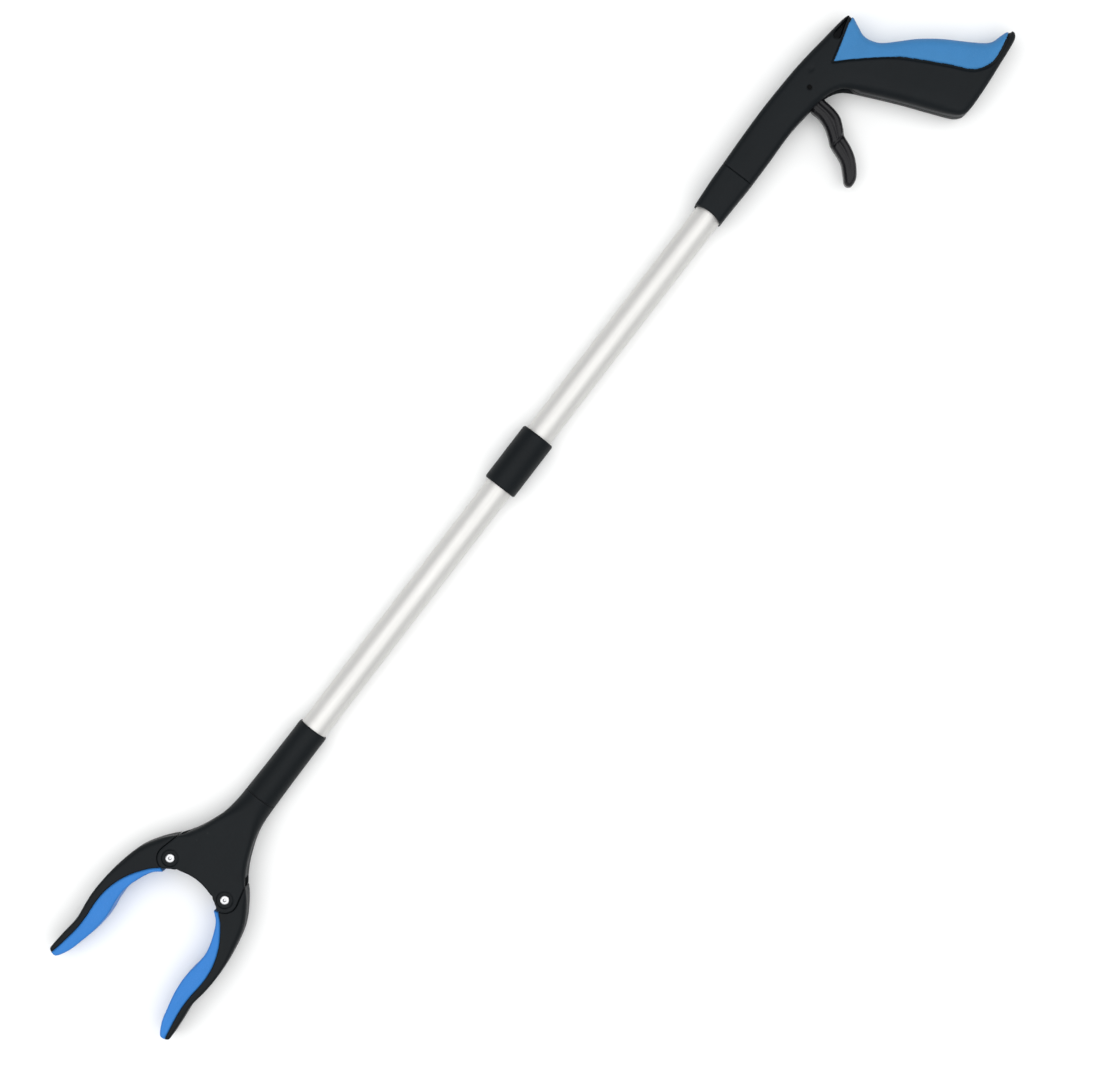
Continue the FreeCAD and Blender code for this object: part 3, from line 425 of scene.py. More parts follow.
FLOW_STRETCH = (0.5, 1.6, 1.0)
FLOW_NOISE = (42, 4)
FLOW_SHADES = (0.93, 1.08)
RUBBED_AND_HIGHLIGHT_SHARE = 0.55
GRAIN_NOISE = (2600, 2, 0.6)
GRAIN_HEIGHT = 0.00014
WAVE_NOISE = (1200, 2)
WAVE_SHARE = 0.4
WAVE_HEIGHT = 0.0001
PLASTIC_GLOSS_NOISE = (900, 3)
PLASTIC_GLOSS_SPREAD = (0.04, 0.05)


def plastic(name, colour, worn_and_highlight, grain, gloss, specular):
    """Moulded plastic: spark-eroded grain, faint flow marks, and paler convex edges that are partly rubbed
    wear and partly a painted highlight.
    """
    material, tree, principled = shader(name)
    place = coordinates(tree)
    flow = remap(tree, noise(tree, coordinates(tree, FLOW_STRETCH), *FLOW_NOISE), 0, 1)
    body = blend_colours(tree, flow, *shades(colour, *FLOW_SHADES))
    # Convex edges blend towards the second colour: partly rubbed wear, partly a painted highlight standing in
    # for gloss on the ridges.
    rubbed_and_highlight = remap(tree, edge_wear_and_highlight(tree), 0, RUBBED_AND_HIGHLIGHT_SHARE, 0, 1)
    tree.links.new(blend_colours(tree, rubbed_and_highlight, body, worn_and_highlight), principled.inputs["Base Color"])
    fine = noise(tree, place, *GRAIN_NOISE)
    roughen(tree, principled, noise(tree, place, *PLASTIC_GLOSS_NOISE), gloss, PLASTIC_GLOSS_SPREAD)
    principled.inputs["Specular IOR Level"].default_value = specular
    waves = noise(tree, place, *WAVE_NOISE)
    bumps(tree, principled, [(fine, grain, GRAIN_HEIGHT), (waves, grain * WAVE_SHARE, WAVE_HEIGHT)])
    return material


HANDLING_NOISE = (55, 5, 0.6)
HANDLING_SHADES = (0.96, 1.04)
DUST_NOISE = (1500, 2)
DUST_RANGE = (0, 0.22, 0.5, 0.75)
DUST_GAIN = 1.3
DUST_LIFT = 0.03
RUBBER_GLOSS_NOISE = (700, 3)
RUBBER_GLOSS_SPREAD = (0.05, 0.06)
RUBBER_SPECULAR = 0.32
SHEEN_WEIGHT = 0.08
SHEEN_ROUGHNESS = 0.5
PEBBLE_SCALE = 1700
PEBBLE_BUMP = (0.35, 0.00015)
SKIN_NOISE = (900, 2)
SKIN_BUMP = (0.2, 0.0001)


def rubber(name, colour, gloss):
    """Soft overmoulded rubber: a velvety skin, handling marks and a fine pebbled grain."""
    material, tree, principled = shader(name)
    place = coordinates(tree)
    patches = remap(tree, noise(tree, place, *HANDLING_NOISE), 0, 1)
    body = blend_colours(tree, patches, *shades(colour, *HANDLING_SHADES))
    dust = remap(tree, noise(tree, place, *DUST_NOISE), *DUST_RANGE)
    pale = tuple(min(1, part * DUST_GAIN + DUST_LIFT) for part in colour)
    tree.links.new(blend_colours(tree, dust, body, pale), principled.inputs["Base Color"])
    roughen(tree, principled, noise(tree, place, *RUBBER_GLOSS_NOISE), gloss, RUBBER_GLOSS_SPREAD)
    principled.inputs["Specular IOR Level"].default_value = RUBBER_SPECULAR
    principled.inputs["Sheen Weight"].default_value = SHEEN_WEIGHT
    principled.inputs["Sheen Roughness"].default_value = SHEEN_ROUGHNESS
    pebbles = tree.nodes.new("ShaderNodeTexVoronoi")
    pebbles.feature = "SMOOTH_F1"
    pebbles.inputs["Scale"].default_value = PEBBLE_SCALE
    tree.links.new(place, pebbles.inputs["Vector"])
    skin = noise(tree, place, *SKIN_NOISE)
    bumps(tree, principled, [(pebbles.outputs["Distance"], *PEBBLE_BUMP), (skin, *SKIN_BUMP)])
    return material


LINE_NOISE = (900, 3, 0.65)
LINE_HEIGHT = 0.00006
TARNISH_NOISE = (34, 5, 0.6)
METAL_GLOSS_SPREAD = (0.06, 0.08)
DENT_NOISE = (120, 5)
DENT_SHARE = 0.4
DENT_HEIGHT = 0.0002


def metal(name, colour, gloss, stretch, scratch, tarnish=0.12, metallic=1.0):
    """Metal with drawn lines along the stretched axis, faint tarnish and small scratches."""
    material, tree, principled = shader(name)
    lines = noise(tree, coordinates(tree, stretch), *LINE_NOISE)
    place = coordinates(tree)
    cloud = remap(tree, noise(tree, place, *TARNISH_NOISE), 0, 1)
    dull = tuple(part * (1 - tarnish) for part in colour)
    tree.links.new(blend_colours(tree, cloud, dull, colour), principled.inputs["Base Color"])
    roughen(tree, principled, lines, gloss, METAL_GLOSS_SPREAD)
    principled.inputs["Metallic"].default_value = metallic
    dents = noise(tree, place, *DENT_NOISE)
    bumps(tree, principled, [(lines, scratch, LINE_HEIGHT), (dents, scratch * DENT_SHARE, DENT_HEIGHT)])
    return material


# The second colour of each plastic is its paler convex edge: partly rubbed wear, partly a painted highlight;
# the trigger's is the brightest.
BLACK = plastic("charcoal_plastic", (0.0045, 0.0064, 0.0078), (0.030, 0.030, 0.032), 0.5, 0.50, 0.13)
TRIGGER_BLACK = plastic("trigger_plastic", (0.0050, 0.0048, 0.0062), (0.075, 0.073, 0.080), 0.25, 0.28, 0.22)
PIN_BLACK = plastic("blackened_pin", (0.002, 0.002, 0.002), (0.01, 0.01, 0.01), 0.2, 0.6, 0.05)
INNER = plastic("inner_plastic", (0.028, 0.030, 0.032), (0.070, 0.072, 0.074), 0.30, 0.48, 0.4)
GRIP_BLUE = rubber("grip_blue_rubber", (0.031, 0.176, 0.400), 0.66)
PAD_BLUE = rubber("pad_blue_rubber", (0.022, 0.178, 0.525), 0.58)
ALUMINIUM = metal("satin_aluminium", (0.66, 0.650, 0.628), 0.50, (0.02, 1, 1), 0.30, 0.05, 0.55)
STEEL = metal("bright_steel", (0.52, 0.52, 0.53), 0.24, (1, 1, 1), 0.15, 0.10)
DARK_STEEL = metal("blackened_steel", (0.07, 0.07, 0.075), 0.38, (1, 1, 1), 0.2, 0.3)
WIRE = metal("steel_wire", (0.52, 0.52, 0.53), 0.34, (0.3, 1, 1), 0.5, 0.25)

# ---------------------------------------------------------------- handle

EDGE = 0.4
FINE_EDGE = 0.3
PARTING_GAP = 0.03

HANDLE_STEP = 0.6
HANDLE_HALF = 13.0
SHELL_HALF = 12.85
FACE_CROWN = 0.55
CROWN_REACH = (12, 2)
GRIP_GROWS = (8, 42)
GRIP_FADES = (76, 93)
NOSE_SEAM = -239.7
NOSE_END = -206.7
NOSE_SEAM_GAP = 0.06
NOSE_SEAM_ROUNDING = 0.45
NOSE_STEP = 0.5
NOSE_HOLLOW = 1.8
NOSE_MIDDLE = -0.3
NOSE_REACH = 10.8
NOSE_ROUNDING = 1.1
NOSE_BORE_GAP = 0.25
NOSE_BORE_ROUNDING = 0.5
BARREL_RIM = 4.6
GRIP_RIM = 6.5
TUBE_RADIUS = 9.5
TUBE_SEAT_END = -262.0
TUBE_SEAT_GAP = 0.02

# The handle from its nose along the top, round the grip and back along the belly.
HANDLE_TOP = [(-190, 10.4), (-206.7, 10.5), (-215, 10.6), (-228, 10.9), (-239.7, 11.2), (-262, 10.9)]
HANDLE_TOP += [(-284.7, 10.3), (-303.7, 11.9), (-314, 13.6)]
WEB = [(-321.5, 16.0), (-327.5, 20.0), (-331.2, 25.5), (-335.5, 34.5)]
GRIP_FRONT = [(-344.7, 55), (-353.2, 76), (-358.7, 88.5), (-362.4, 93.5)]
GRIP_END = [(-368, 95.6), (-384.7, 95.1), (-405, 93.2), (-419.5, 91.7)]
HEEL = [(-425.3, 90.2), (-427.4, 87.2), (-425.6, 84.2), (-420.5, 82.1)]
PALM = [(-412.3, 79), (-404.7, 68.5), (-394.7, 52), (-384.7, 39), (-374.7, 29), (-367, 20.5)]
PALM += [(-364.2, 11), (-367, 3), (-369.6, -2.6)]
TIP = [(-369.9, -5.4), (-367.9, -7.3), (-362, -8.6)]
BELLY = [(-344.7, -10.7), (-324.7, -12.9), (-304.7, -13.9), (-284.7, -14.3), (-262, -13.8)]
BELLY += [(-239.7, -12.9), (-228, -12.5), (-215, -11.6), (-206.7, -11.0), (-190, -10.2)]
HANDLE = smooth(HANDLE_TOP + WEB + GRIP_FRONT + GRIP_END + HEEL + PALM + TIP + BELLY)

# The line where the blue grip meets the black shells, and the black core under it.
SEAM_LOWER = [(-375, -6.9), (-369.4, -5.4), (-354.3, -0.8), (-336.9, 4)]
SEAM_UPPER = [(-336.9, 4), (-347.6, 15.1), (-362.9, 32.9), (-372.1, 48), (-381.9, 66.6), (-389.2, 81.2)]
SEAM_UPPER += [(-398.2, 88), (-407.5, 89.4), (-424.7, 86), (-432, 83.2)]
PALM_SIDE = smooth(SEAM_LOWER) + smooth(SEAM_UPPER)[1:] + [(-500, 83.2), (-500, -6.9)]
TONGUE = [(-408, 84.5), (-403.5, 77), (-391, 58), (-381, 44), (-371, 34), (-361.5, 25), (-360, 14)]
TONGUE += [(-362, 5), (-361, -1), (-352, -3), (-340, 8), (-352, 25), (-372, 52), (-388, 84)]
TONGUE_HALF = 8.0
SEAM_GAP = 0.42
SEAM_ROUNDING = 0.9
SEAM_CORE = 1.6
CORE_INSET = 1.1
CORE_GAP = 0.15
WORKS_HOLLOW = [(-345, -7), (-330, -9.5), (-262, -10.8), (-262, 8), (-285, 7.8), (-330, 9.5), (-338, 4)]
WORKS_HALF = 10.5
SLOT_LOW = (-333.0, 4.0, -7.6)
SLOT_HIGH = (-303.2, 30.0, 7.6)
SLOT_ROUNDING = 1.1
PIN_BORE = 1.62
PIN_BORE_ROUNDING = 0.2
HANDLE_SCREWS = [(-276.0, -8.3), (-341.0, -5.0), (-350.5, 46.0), (-378.0, 84.0)]
SCREW_WELL = 3.0
SCREW_WELL_RADIUS = 2.9
TIP_POCKET = [(-353.0, -1.9), (-350.8, -5.6), (-354.5, -7.4), (-361.5, -6.9), (-367.3, -6.2), (-361.5, -4.2)]
POCKET_FLOOR = 3.0
DIMPLE = Vector((-324.7, -4.6, 17.1))
DIMPLE_RADIUS = 5.0
DIMPLE_STRETCH = 1.4
DIMPLE_ROUNDING = 0.6
GRIP_TIP_ROUNDING = 1.6
GRIP_TIP = (-363, -367)
TRIGGER_PIN = local(pivot("trigger_pull"))


def handle_form(block, half):
    """The handle before it is parted into shells, grip and nose."""
    grip = ease(block.y, *GRIP_GROWS) * (1 - ease(block.y, *GRIP_FADES))
    rim = BARREL_RIM + (GRIP_RIM - BARREL_RIM) * grip
    crown = FACE_CROWN * ease(-outline(block, HANDLE), *CROWN_REACH)
    return common(outline(block, HANDLE), np.abs(block.z) - half + crown, rim)


def seam_core(block, body):
    """The black plastic under the blue grip: its tongue, and the bottom of the seam's groove."""
    tongue = np.maximum(outline(block, TONGUE), np.abs(block.z) - TONGUE_HALF)
    strip = np.abs(outline(block, PALM_SIDE)) - SEAM_CORE
    return np.minimum(tongue, np.maximum(strip, body + CORE_INSET))


def handle_shell(block, body, sign):
    """One shell: a half of the form with the works, slot, seat and screw wells cut in."""
    shell = carved(body, outline(block, PALM_SIDE) - SEAM_GAP, SEAM_ROUNDING)
    shell = np.minimum(shell, seam_core(block, body))
    shell = common(shell, block.x - NOSE_SEAM + NOSE_SEAM_GAP, NOSE_SEAM_ROUNDING)
    works = np.maximum(outline(block, WORKS_HOLLOW), np.abs(block.z) - WORKS_HALF)
    shell = carved(shell, works, EDGE)
    seat = np.maximum(rod(block, TUBE_RADIUS + TUBE_SEAT_GAP), TUBE_SEAT_END - block.x)
    shell = np.maximum(shell, -seat)
    shell = carved(shell, bar(block, SLOT_LOW, SLOT_HIGH), SLOT_ROUNDING)
    shell = carved(shell, post(block, TRIGGER_PIN, PIN_BORE), PIN_BORE_ROUNDING)
    pocket = np.maximum(outline(block, smooth(TIP_POCKET, closed=True)), POCKET_FLOOR - np.abs(block.z))
    shell = carved(shell, pocket, EDGE)
    across = np.hypot(block.x - DIMPLE.x, (block.y - DIMPLE.y) * DIMPLE_STRETCH)
    shell = carved(shell, np.hypot(across, np.abs(block.z) - DIMPLE.z) - DIMPLE_RADIUS, DIMPLE_ROUNDING)
    if sign < 0:
        for place in HANDLE_SCREWS:
            well = np.maximum(post(block, place, SCREW_WELL_RADIUS), block.z + HANDLE_HALF - SCREW_WELL)
            shell = carved(shell, well, FINE_EDGE)
    return common(shell, PARTING_GAP - sign * block.z, EDGE)


def make_handle():
    """Both shells of the handle and the rubber grip that lies over them."""
    nodes = ("handle_shell_front", "handle_shell_back", "palm_grip", "nose_sleeve")
    block = block_round(nodes, HANDLE_STEP)
    body = handle_form(block, SHELL_HALF)
    for name, sign in (("handle_front", 1), ("handle_back", -1)):
        shell = mould(name, block, handle_shell(block, body, sign))
        finish_piece(shell, "handle", BLACK, "black_plastic", nodes[0] if sign > 0 else nodes[1])
    corner = SEAM_ROUNDING + GRIP_TIP_ROUNDING * ease(block.x, *GRIP_TIP)
    grip = common(handle_form(block, HANDLE_HALF), outline(block, PALM_SIDE) + SEAM_GAP, corner)
    grip = mould("palm_saddle", block, np.maximum(grip, CORE_GAP - seam_core(block, body)))
    finish_piece(grip, "handle", GRIP_BLUE, "grip_rubber", "palm_grip")


def make_nose():
    """The ring where the tube goes into the handle, hollowed a little at its mouth."""
    block = block_round(["nose_sleeve"], NOSE_STEP)
    body = handle_form(block, SHELL_HALF)
    hollow = NOSE_HOLLOW * np.clip(1 - ((block.y - NOSE_MIDDLE) / NOSE_REACH) ** 2, 0, 1)
    nose = common(body, block.x - NOSE_END + hollow, NOSE_ROUNDING)
    nose = common(nose, NOSE_SEAM + NOSE_SEAM_GAP - block.x, NOSE_SEAM_ROUNDING)
    nose = carved(nose, rod(block, TUBE_RADIUS + NOSE_BORE_GAP), NOSE_BORE_ROUNDING)
    finish_piece(mould("nose_ring", block, nose), "handle", BLACK, "black_plastic", "nose_sleeve")


# ---------------------------------------------------------------- trigger

TRIGGER_STEP = 0.4
TRIGGER_HALF = 7.0
TRIGGER_LEVER = [(-304.3, 12.5), (-303.6, 20), (-301.3, 26.5), (-297.3, 32.5), (-293.8, 36.8), (-291.5, 43)]
TRIGGER_LEVER += [(-288.7, 49.5), (-283.5, 55.3), (-279.6, 59.2), (-279, 62.2), (-281.2, 64.4)]
TRIGGER_LEVER += [(-286.5, 63.8), (-292, 60.2), (-298, 54), (-302, 47), (-304.6, 40.6), (-309, 35.6)]
TRIGGER_LEVER += [(-313.2, 29.8), (-315, 23), (-315.8, 14), (-316.5, 5), (-308, 3)]
TRIGGER_ROUND = 5.2
KNUCKLE = [(-286, 37.5), (-312, 40.9), (-312, 39.5), (-286, 36.1)]
KNUCKLE_DEPTH = 1.3
KNUCKLE_SLOPE = (-1.4, 0.6)
FLUTE_SIDE = 4.0
FLUTE_HALF = 0.8
FLUTE_DEPTH = 0.9
FLUTE_SLOPE = (-1.3, 0.8)
HUB_RADIUS = 7.0
HUB_MARGIN = 3.5
HUB_FILLET = 2.0
LEVER_BORE = 1.65
SLIT_HALF = 1.4
BARREL_POCKET = 3.4
BARREL_LEVER = 7.0
TRIGGER_SWING = math.radians(JOINTS["trigger_pull"]["range_deg"][1])
# (reach, degrees) from the middle of the cable's barrel.
CABLE_SLIT = [(1.6, -142), (24, -52), (24, -6), (1.6, 84)]


def make_trigger():
    """The lever: a rounded finger lever with a shallow flute, a crease at its knuckle, and the hub."""
    block = block_round(["trigger"], TRIGGER_STEP)
    plan = outline(block, smooth(TRIGGER_LEVER, closed=True))
    hub = post(block, TRIGGER_PIN, HUB_RADIUS)
    face = np.abs(block.z) - TRIGGER_HALF
    root = post(block, TRIGGER_PIN, HUB_RADIUS + HUB_MARGIN)
    flute = np.maximum(np.abs(plan + FLUTE_SIDE) - FLUTE_HALF, -root)
    crease = np.maximum(outline(block, KNUCKLE), -root)
    dent = FLUTE_DEPTH * ease(-flute, *FLUTE_SLOPE)
    dent = np.maximum(dent, KNUCKLE_DEPTH * ease(-crease, *KNUCKLE_SLOPE))
    lever = common(joined(plan, hub, HUB_FILLET), face + dent, TRIGGER_ROUND)
    turn = TRIGGER_SWING / 2
    barrel = TRIGGER_PIN.to_2d() + Vector((math.sin(turn), math.cos(turn))) * BARREL_LEVER
    lever = carved(lever, post(block, barrel, BARREL_POCKET), FINE_EDGE)
    slit = []
    for reach, degrees in CABLE_SLIT:
        angle = math.radians(degrees)
        slit.append(barrel + Vector((math.cos(angle), math.sin(angle))) * reach)
    lever = np.maximum(lever, -np.maximum(outline(block, slit), np.abs(block.z) - SLIT_HALF))
    lever = np.maximum(lever, -post(block, TRIGGER_PIN, LEVER_BORE))
    finish_piece(mould("trigger_lever", block, lever), "trigger", TRIGGER_BLACK, "trigger_plastic", "trigger")


# ---------------------------------------------------------------- head

YOKE_STEP = 0.5
YOKE_HALF = 13.0
YOKE_PLATE = 4.0
YOKE_START = 283.6
NECK_RADIUS = 11.4
NECK_END = 312.0
JAW_PIN = local(pivot("jaw_left_hinge"))
THROAT = (388.3, 0.0)
THROAT_RADIUS = 37.2
EAR_RADIUS = 8.5
# One side of the head; the other mirrors it.
YOKE_SIDE = [(270, 11.4), (283.6, 11.4), (295.3, 11.9), (305.3, 13.5), (315.3, 16.9)]
YOKE_SIDE += [(325.3, 21.5), (335.3, 27.8)]
CAVITY_SIDE = [(301, 9.6), (305.3, 10.9), (315.3, 14.1), (325.3, 18.7), (331, 22.2)]
CAVITY_SIDE += [(331, 42), (372, 42)]
CAVITY_SHOULDER = 331
CAVITY_END = 352.2
CAVITY_WALL = 14.6
THROAT_WALL = 1.8
SCREW_POSTS = [(326.0, 14.2), (326.0, -14.2)]
SCREW_POST_RADIUS = 3.4
SCREW_POST_INSET = 0.5
SCREW_POST_FILLET = 0.6
EAR_START = 334.0
EAR_BLEND = 4
EAR_REACH = 3
NECK_EASE = 2
NECK_RIM_INSET = 0.2
THROAT_ROUNDING = 0.9
SOCKET_FACE_GAP = 0.08
SOCKET_FACE_ROUNDING = 0.2
SOCKET_ROOM = (7.3, 292.7)
FLANGE_ROOM = (8.8, 297.3)
WIRE_ROOM = 2.5
EAR_RIM = 0.5
YOKE_RIM = 4.2
RIVET_WELL = 5.5
RIVET_WELL_DEPTH = 1.5
RIVET_WELL_ROUNDING = 0.35
RIVET_BORE = 2.5


def mirrored(points):
    return [(x, -y) for x, y in points]


def ear_edge(radius, offset):
    """The straight edge from the yoke's outer corner to a circle round the ear, moved outward."""
    side, pin = Vector(YOKE_SIDE[-1]), JAW_PIN.to_2d()
    heading = math.atan2(side.y - pin.y, side.x - pin.x)
    normal = heading - math.acos(EAR_RADIUS / (side - pin).length)
    out = Vector((math.cos(normal), math.sin(normal)))
    return side + out * offset, pin + out * radius, normal


def yoke_plan(block):
    """The yoke seen from above: each side's curve, straight to its ear, and the ear's round."""
    _, touch, _ = ear_edge(EAR_RADIUS, 0)
    pin = JAW_PIN.to_2d()
    side = smooth(YOKE_SIDE)
    upper = side + [touch, pin + Vector((EAR_REACH, 0))]
    lower = [Vector((point.x, -point.y)) for point in reversed(upper)]
    plan = outline(block, upper + lower)
    for ear in (pin, Vector((pin.x, -pin.y))):
        plan = np.minimum(plan, post(block, ear, EAR_RADIUS))
    return plan


def yoke_shell(block, sign):
    """One plate of the head with its side walls, ears, rivet wells and screw posts."""
    plan = yoke_plan(block)
    neck = 1 - ease(block.x, YOKE_START + NECK_EASE, NECK_END)
    half = YOKE_HALF - (YOKE_HALF - NECK_RADIUS) * neck
    side_share = ease(block.x, EAR_START + EAR_BLEND, EAR_START - EAR_BLEND)
    rim = EAR_RIM + (YOKE_RIM - EAR_RIM) * side_share
    rim = rim + (NECK_RADIUS - YOKE_RIM - NECK_RIM_INSET) * neck
    face = np.abs(block.z) - half
    shell = common(plan, face, rim)
    throat = -post(block, THROAT, THROAT_RADIUS)
    shell = common(shell, throat, THROAT_ROUNDING)
    shell = common(shell, YOKE_START - SOCKET_FACE_GAP - block.x, SOCKET_FACE_ROUNDING)
    cavity = outline(block, CAVITY_SIDE + mirrored(CAVITY_SIDE)[::-1])
    walled = np.maximum(throat + THROAT_WALL, np.abs(block.y) - CAVITY_WALL)
    open_side = np.maximum(CAVITY_WALL - np.abs(block.y), CAVITY_SHOULDER - block.x)
    cavity = np.maximum(cavity, np.minimum(walled, np.minimum(open_side, block.x - CAVITY_END)))
    cavity = np.maximum(cavity, np.abs(block.z) - YOKE_HALF + YOKE_PLATE)
    shell = carved(shell, cavity, EDGE)
    socket_radius, socket_end = SOCKET_ROOM
    flange_radius, flange_end = FLANGE_ROOM
    socket = np.maximum(rod(block, socket_radius), block.x - socket_end)
    flange = np.maximum(socket_end - block.x, block.x - flange_end)
    flange = np.maximum(rod(block, flange_radius), flange)
    shell = np.maximum(shell, -np.minimum(np.minimum(socket, flange), rod(block, WIRE_ROOM)))
    for place in SCREW_POSTS:
        stem = np.maximum(post(block, place, SCREW_POST_RADIUS), face + SCREW_POST_INSET)
        shell = joined(shell, stem, SCREW_POST_FILLET)
        if sign < 0:
            well = np.maximum(post(block, place, SCREW_WELL_RADIUS), block.z + YOKE_HALF - SCREW_WELL)
            shell = carved(shell, well, FINE_EDGE)
    for side in (1, -1):
        pin = (JAW_PIN.x, side * JAW_PIN.y)
        well = YOKE_HALF - RIVET_WELL_DEPTH - np.abs(block.z)
        well = np.maximum(post(block, pin, RIVET_WELL), well)
        shell = carved(shell, well, RIVET_WELL_ROUNDING)
        shell = np.maximum(shell, -post(block, pin, RIVET_BORE))
    return common(shell, PARTING_GAP - sign * block.z, EDGE)


def make_yoke():
    """The two shells of the head."""
    nodes = ("yoke_shell_front", "yoke_shell_back")
    block = block_round(nodes, YOKE_STEP)
    for name, node, sign in zip(("yoke_front", "yoke_back"), nodes, (1, -1)):
        shell = mould(name, block, yoke_shell(block, sign))
        finish_piece(shell, "head", BLACK, "black_plastic", node)


# ---------------------------------------------------------------- jaws

JAW_STEP = 0.45
JAW_HALF = 11.5
ROOT_HALF = 8.6
PAD_HALF = 12.0
# The left jaw; the right one mirrors it.
JAW_BACK = [(338.3, 31.3), (345.3, 36.9), (355.3, 42.9), (365.3, 46.2), (380, 48.9), (395.3, 50.1)]
JAW_BACK += [(407, 49.6), (420, 48), (433, 49.2), (444, 50), (447, 49.7), (448.5, 47.6)]
JAW_SEAM = [(448.5, 47.6), (436, 45.3), (425.3, 43.9), (415.3, 43.8), (405.3, 44.6), (395.3, 44.3)]
JAW_SEAM += [(385.3, 42), (375.3, 37.5), (365.3, 30.4), (359.5, 24.3)]
PAD_FACE = [(360.7, 21.2), (366, 27), (375.8, 31.6), (385.6, 34.3), (395.3, 34.2), (403, 33.1)]
PAD_FACE += [(411, 32.9), (421, 34), (431, 36.3), (439, 38.4), (445.2, 41.3), (448.3, 43.6)]
PAD_FACE += [(448.8, 45.5), (448.5, 47.6)]
JAW_WEB = [(337.4, 29.1), (344.4, 20.4), (356.9, 22.4), (361.2, 28), (356, 38)]
JAW_HUB_RADIUS = 6.6
JAW_GAP = 0.4
JAW_SEAM_GAP = 0.25
JAW_GROOVE = 1.3
JAW_BACK_RIM = 4.2
JAW_TIP_RIM = 1.8
JAW_RIM_CHANGE = (392, 368)
WEDGE_RIM = 0.6
WEDGE_LENGTH = 12
JAW_INSIDE = [(448.3, -20)]
JAW_INSIDE_DROP = 60
JAW_EDGE = 0.35
PAD_RIM = 1.6
PAD_CROWN = 0.5
PAD_CROWN_REACH = (5, 0.5)
PAD_EDGE = 0.8
BEYOND_SEAM = [(340, 24.3), (330, 60), (452, 60), (452, 47.6)]
PIN_HOLE = 2.55
TAIL_RADIUS = 2.8
TAIL_PIN_RADIUS = 2.0
TAIL_LENGTH = 12.7
TAIL_TURN = math.radians(20)
TAIL_START = 3
CHEEK_START = 4.4


def jaw_arm(block):
    """The arm outside the ears, with a broad round along its back and a fine edge elsewhere."""
    radius = EAR_RADIUS + JAW_GAP
    corner, _, normal = ear_edge(radius, JAW_GAP)
    pin = JAW_PIN.to_2d()
    meet = Vector(JAW_SEAM[-1]) - pin
    start, end = math.degrees(normal), math.degrees(math.atan2(meet.y, meet.x))
    ear = arc(pin, radius, end, start)
    back, seam = smooth(JAW_BACK), smooth(JAW_SEAM)
    whole = outline(block, [corner] + back + seam[1:] + ear)
    inside = JAW_INSIDE + [corner - Vector((0, JAW_INSIDE_DROP))]
    outer = outline(block, [corner] + back + inside)
    face = np.abs(block.z) - JAW_HALF
    broad = JAW_TIP_RIM + (JAW_BACK_RIM - JAW_TIP_RIM) * ease(block.x, *JAW_RIM_CHANGE)
    broad = WEDGE_RIM + (broad - WEDGE_RIM) * ease(block.x, corner.x, corner.x + WEDGE_LENGTH)
    arm = common(outer, face, broad)
    core = np.maximum(np.maximum(arm, whole), face + JAW_GROOVE)
    return np.minimum(common(arm, whole, JAW_EDGE), core)


def jaw_root(block):
    """The thin root between the yoke's plates: web, hub, two tail cheeks and the tail's pin."""
    pin = JAW_PIN.to_2d()
    web = np.minimum(outline(block, JAW_WEB), post(block, pin, JAW_HUB_RADIUS))
    down = Vector((-math.sin(TAIL_TURN), -math.cos(TAIL_TURN)))
    across = Vector((-down.y, down.x)) * TAIL_RADIUS
    start, end = pin + down * TAIL_START, pin + down * TAIL_LENGTH
    tail = outline(block, [start - across, start + across, end + across, end - across])
    tail = np.minimum(tail, post(block, end, TAIL_RADIUS))
    cheeks = common(tail, CHEEK_START - np.abs(block.z), FINE_EDGE)
    root = np.minimum(np.minimum(web, cheeks), post(block, end, TAIL_PIN_RADIUS))
    return common(root, np.abs(block.z) - ROOT_HALF, FINE_EDGE)


def jaw_pad(block):
    """The rubber pad, a little crowned, with a fine step where it meets the arm."""
    seam = smooth(JAW_SEAM)
    plan = outline(block, smooth(PAD_FACE) + seam[1:])
    face = np.abs(block.z) - PAD_HALF
    pad = common(plan, face + PAD_CROWN * ease(-plan, *PAD_CROWN_REACH), PAD_RIM)
    beyond = outline(block, seam + BEYOND_SEAM)
    core = np.maximum(np.maximum(pad, PARTING_GAP - beyond), face + JAW_GROOVE)
    return np.minimum(carved(pad, beyond - JAW_SEAM_GAP, PAD_EDGE), core)


def make_jaws():
    """The left jaw and its pad, and the same two mirrored."""
    block = block_round(["jaw_left", "jaw_pad_left"], JAW_STEP)
    limb = np.minimum(jaw_arm(block), jaw_root(block))
    limb = np.maximum(limb, -post(block, JAW_PIN, PIN_HOLE))
    limb_net, pad_net = net(block, limb), net(block, jaw_pad(block))
    for side, place in (("left", Matrix.Identity(4)), ("right", Matrix.Scale(-1, 4, (0, 1, 0)))):
        arm = mesh_object(f"arm_{side}", *limb_net, place)
        finish_piece(arm, f"jaw_{side}", BLACK, "black_plastic", f"jaw_{side}")
        pad = mesh_object(f"pad_{side}", *pad_net, place)
        finish_piece(pad, f"jaw_{side}", PAD_BLUE, "pad_rubber", f"jaw_pad_{side}")


# ---------------------------------------------------------------- socket and collar

SOCKET = [(225.3, 9.52), (225.3, 10.35), (226.6, 10.75), (240, 10.75), (262, 10.95), (283.3, 11.4)]
SOCKET += [(283.3, 7.0), (293, 7.0), (293, 8.5), (297, 8.5), (297, 2.5), (278, 2.5), (278, 9.52)]
SOCKET_ROUNDING = 0.25
COLLAR = [(-21.5, 10.7), (-21.5, 11.1), (-20.6, 12.0), (20.6, 12.0), (21.5, 11.1), (21.5, 10.7)]
COLLAR += [(20.7, 9.9), (-20.7, 9.9)]
COLLAR_ROUNDING = 0.45


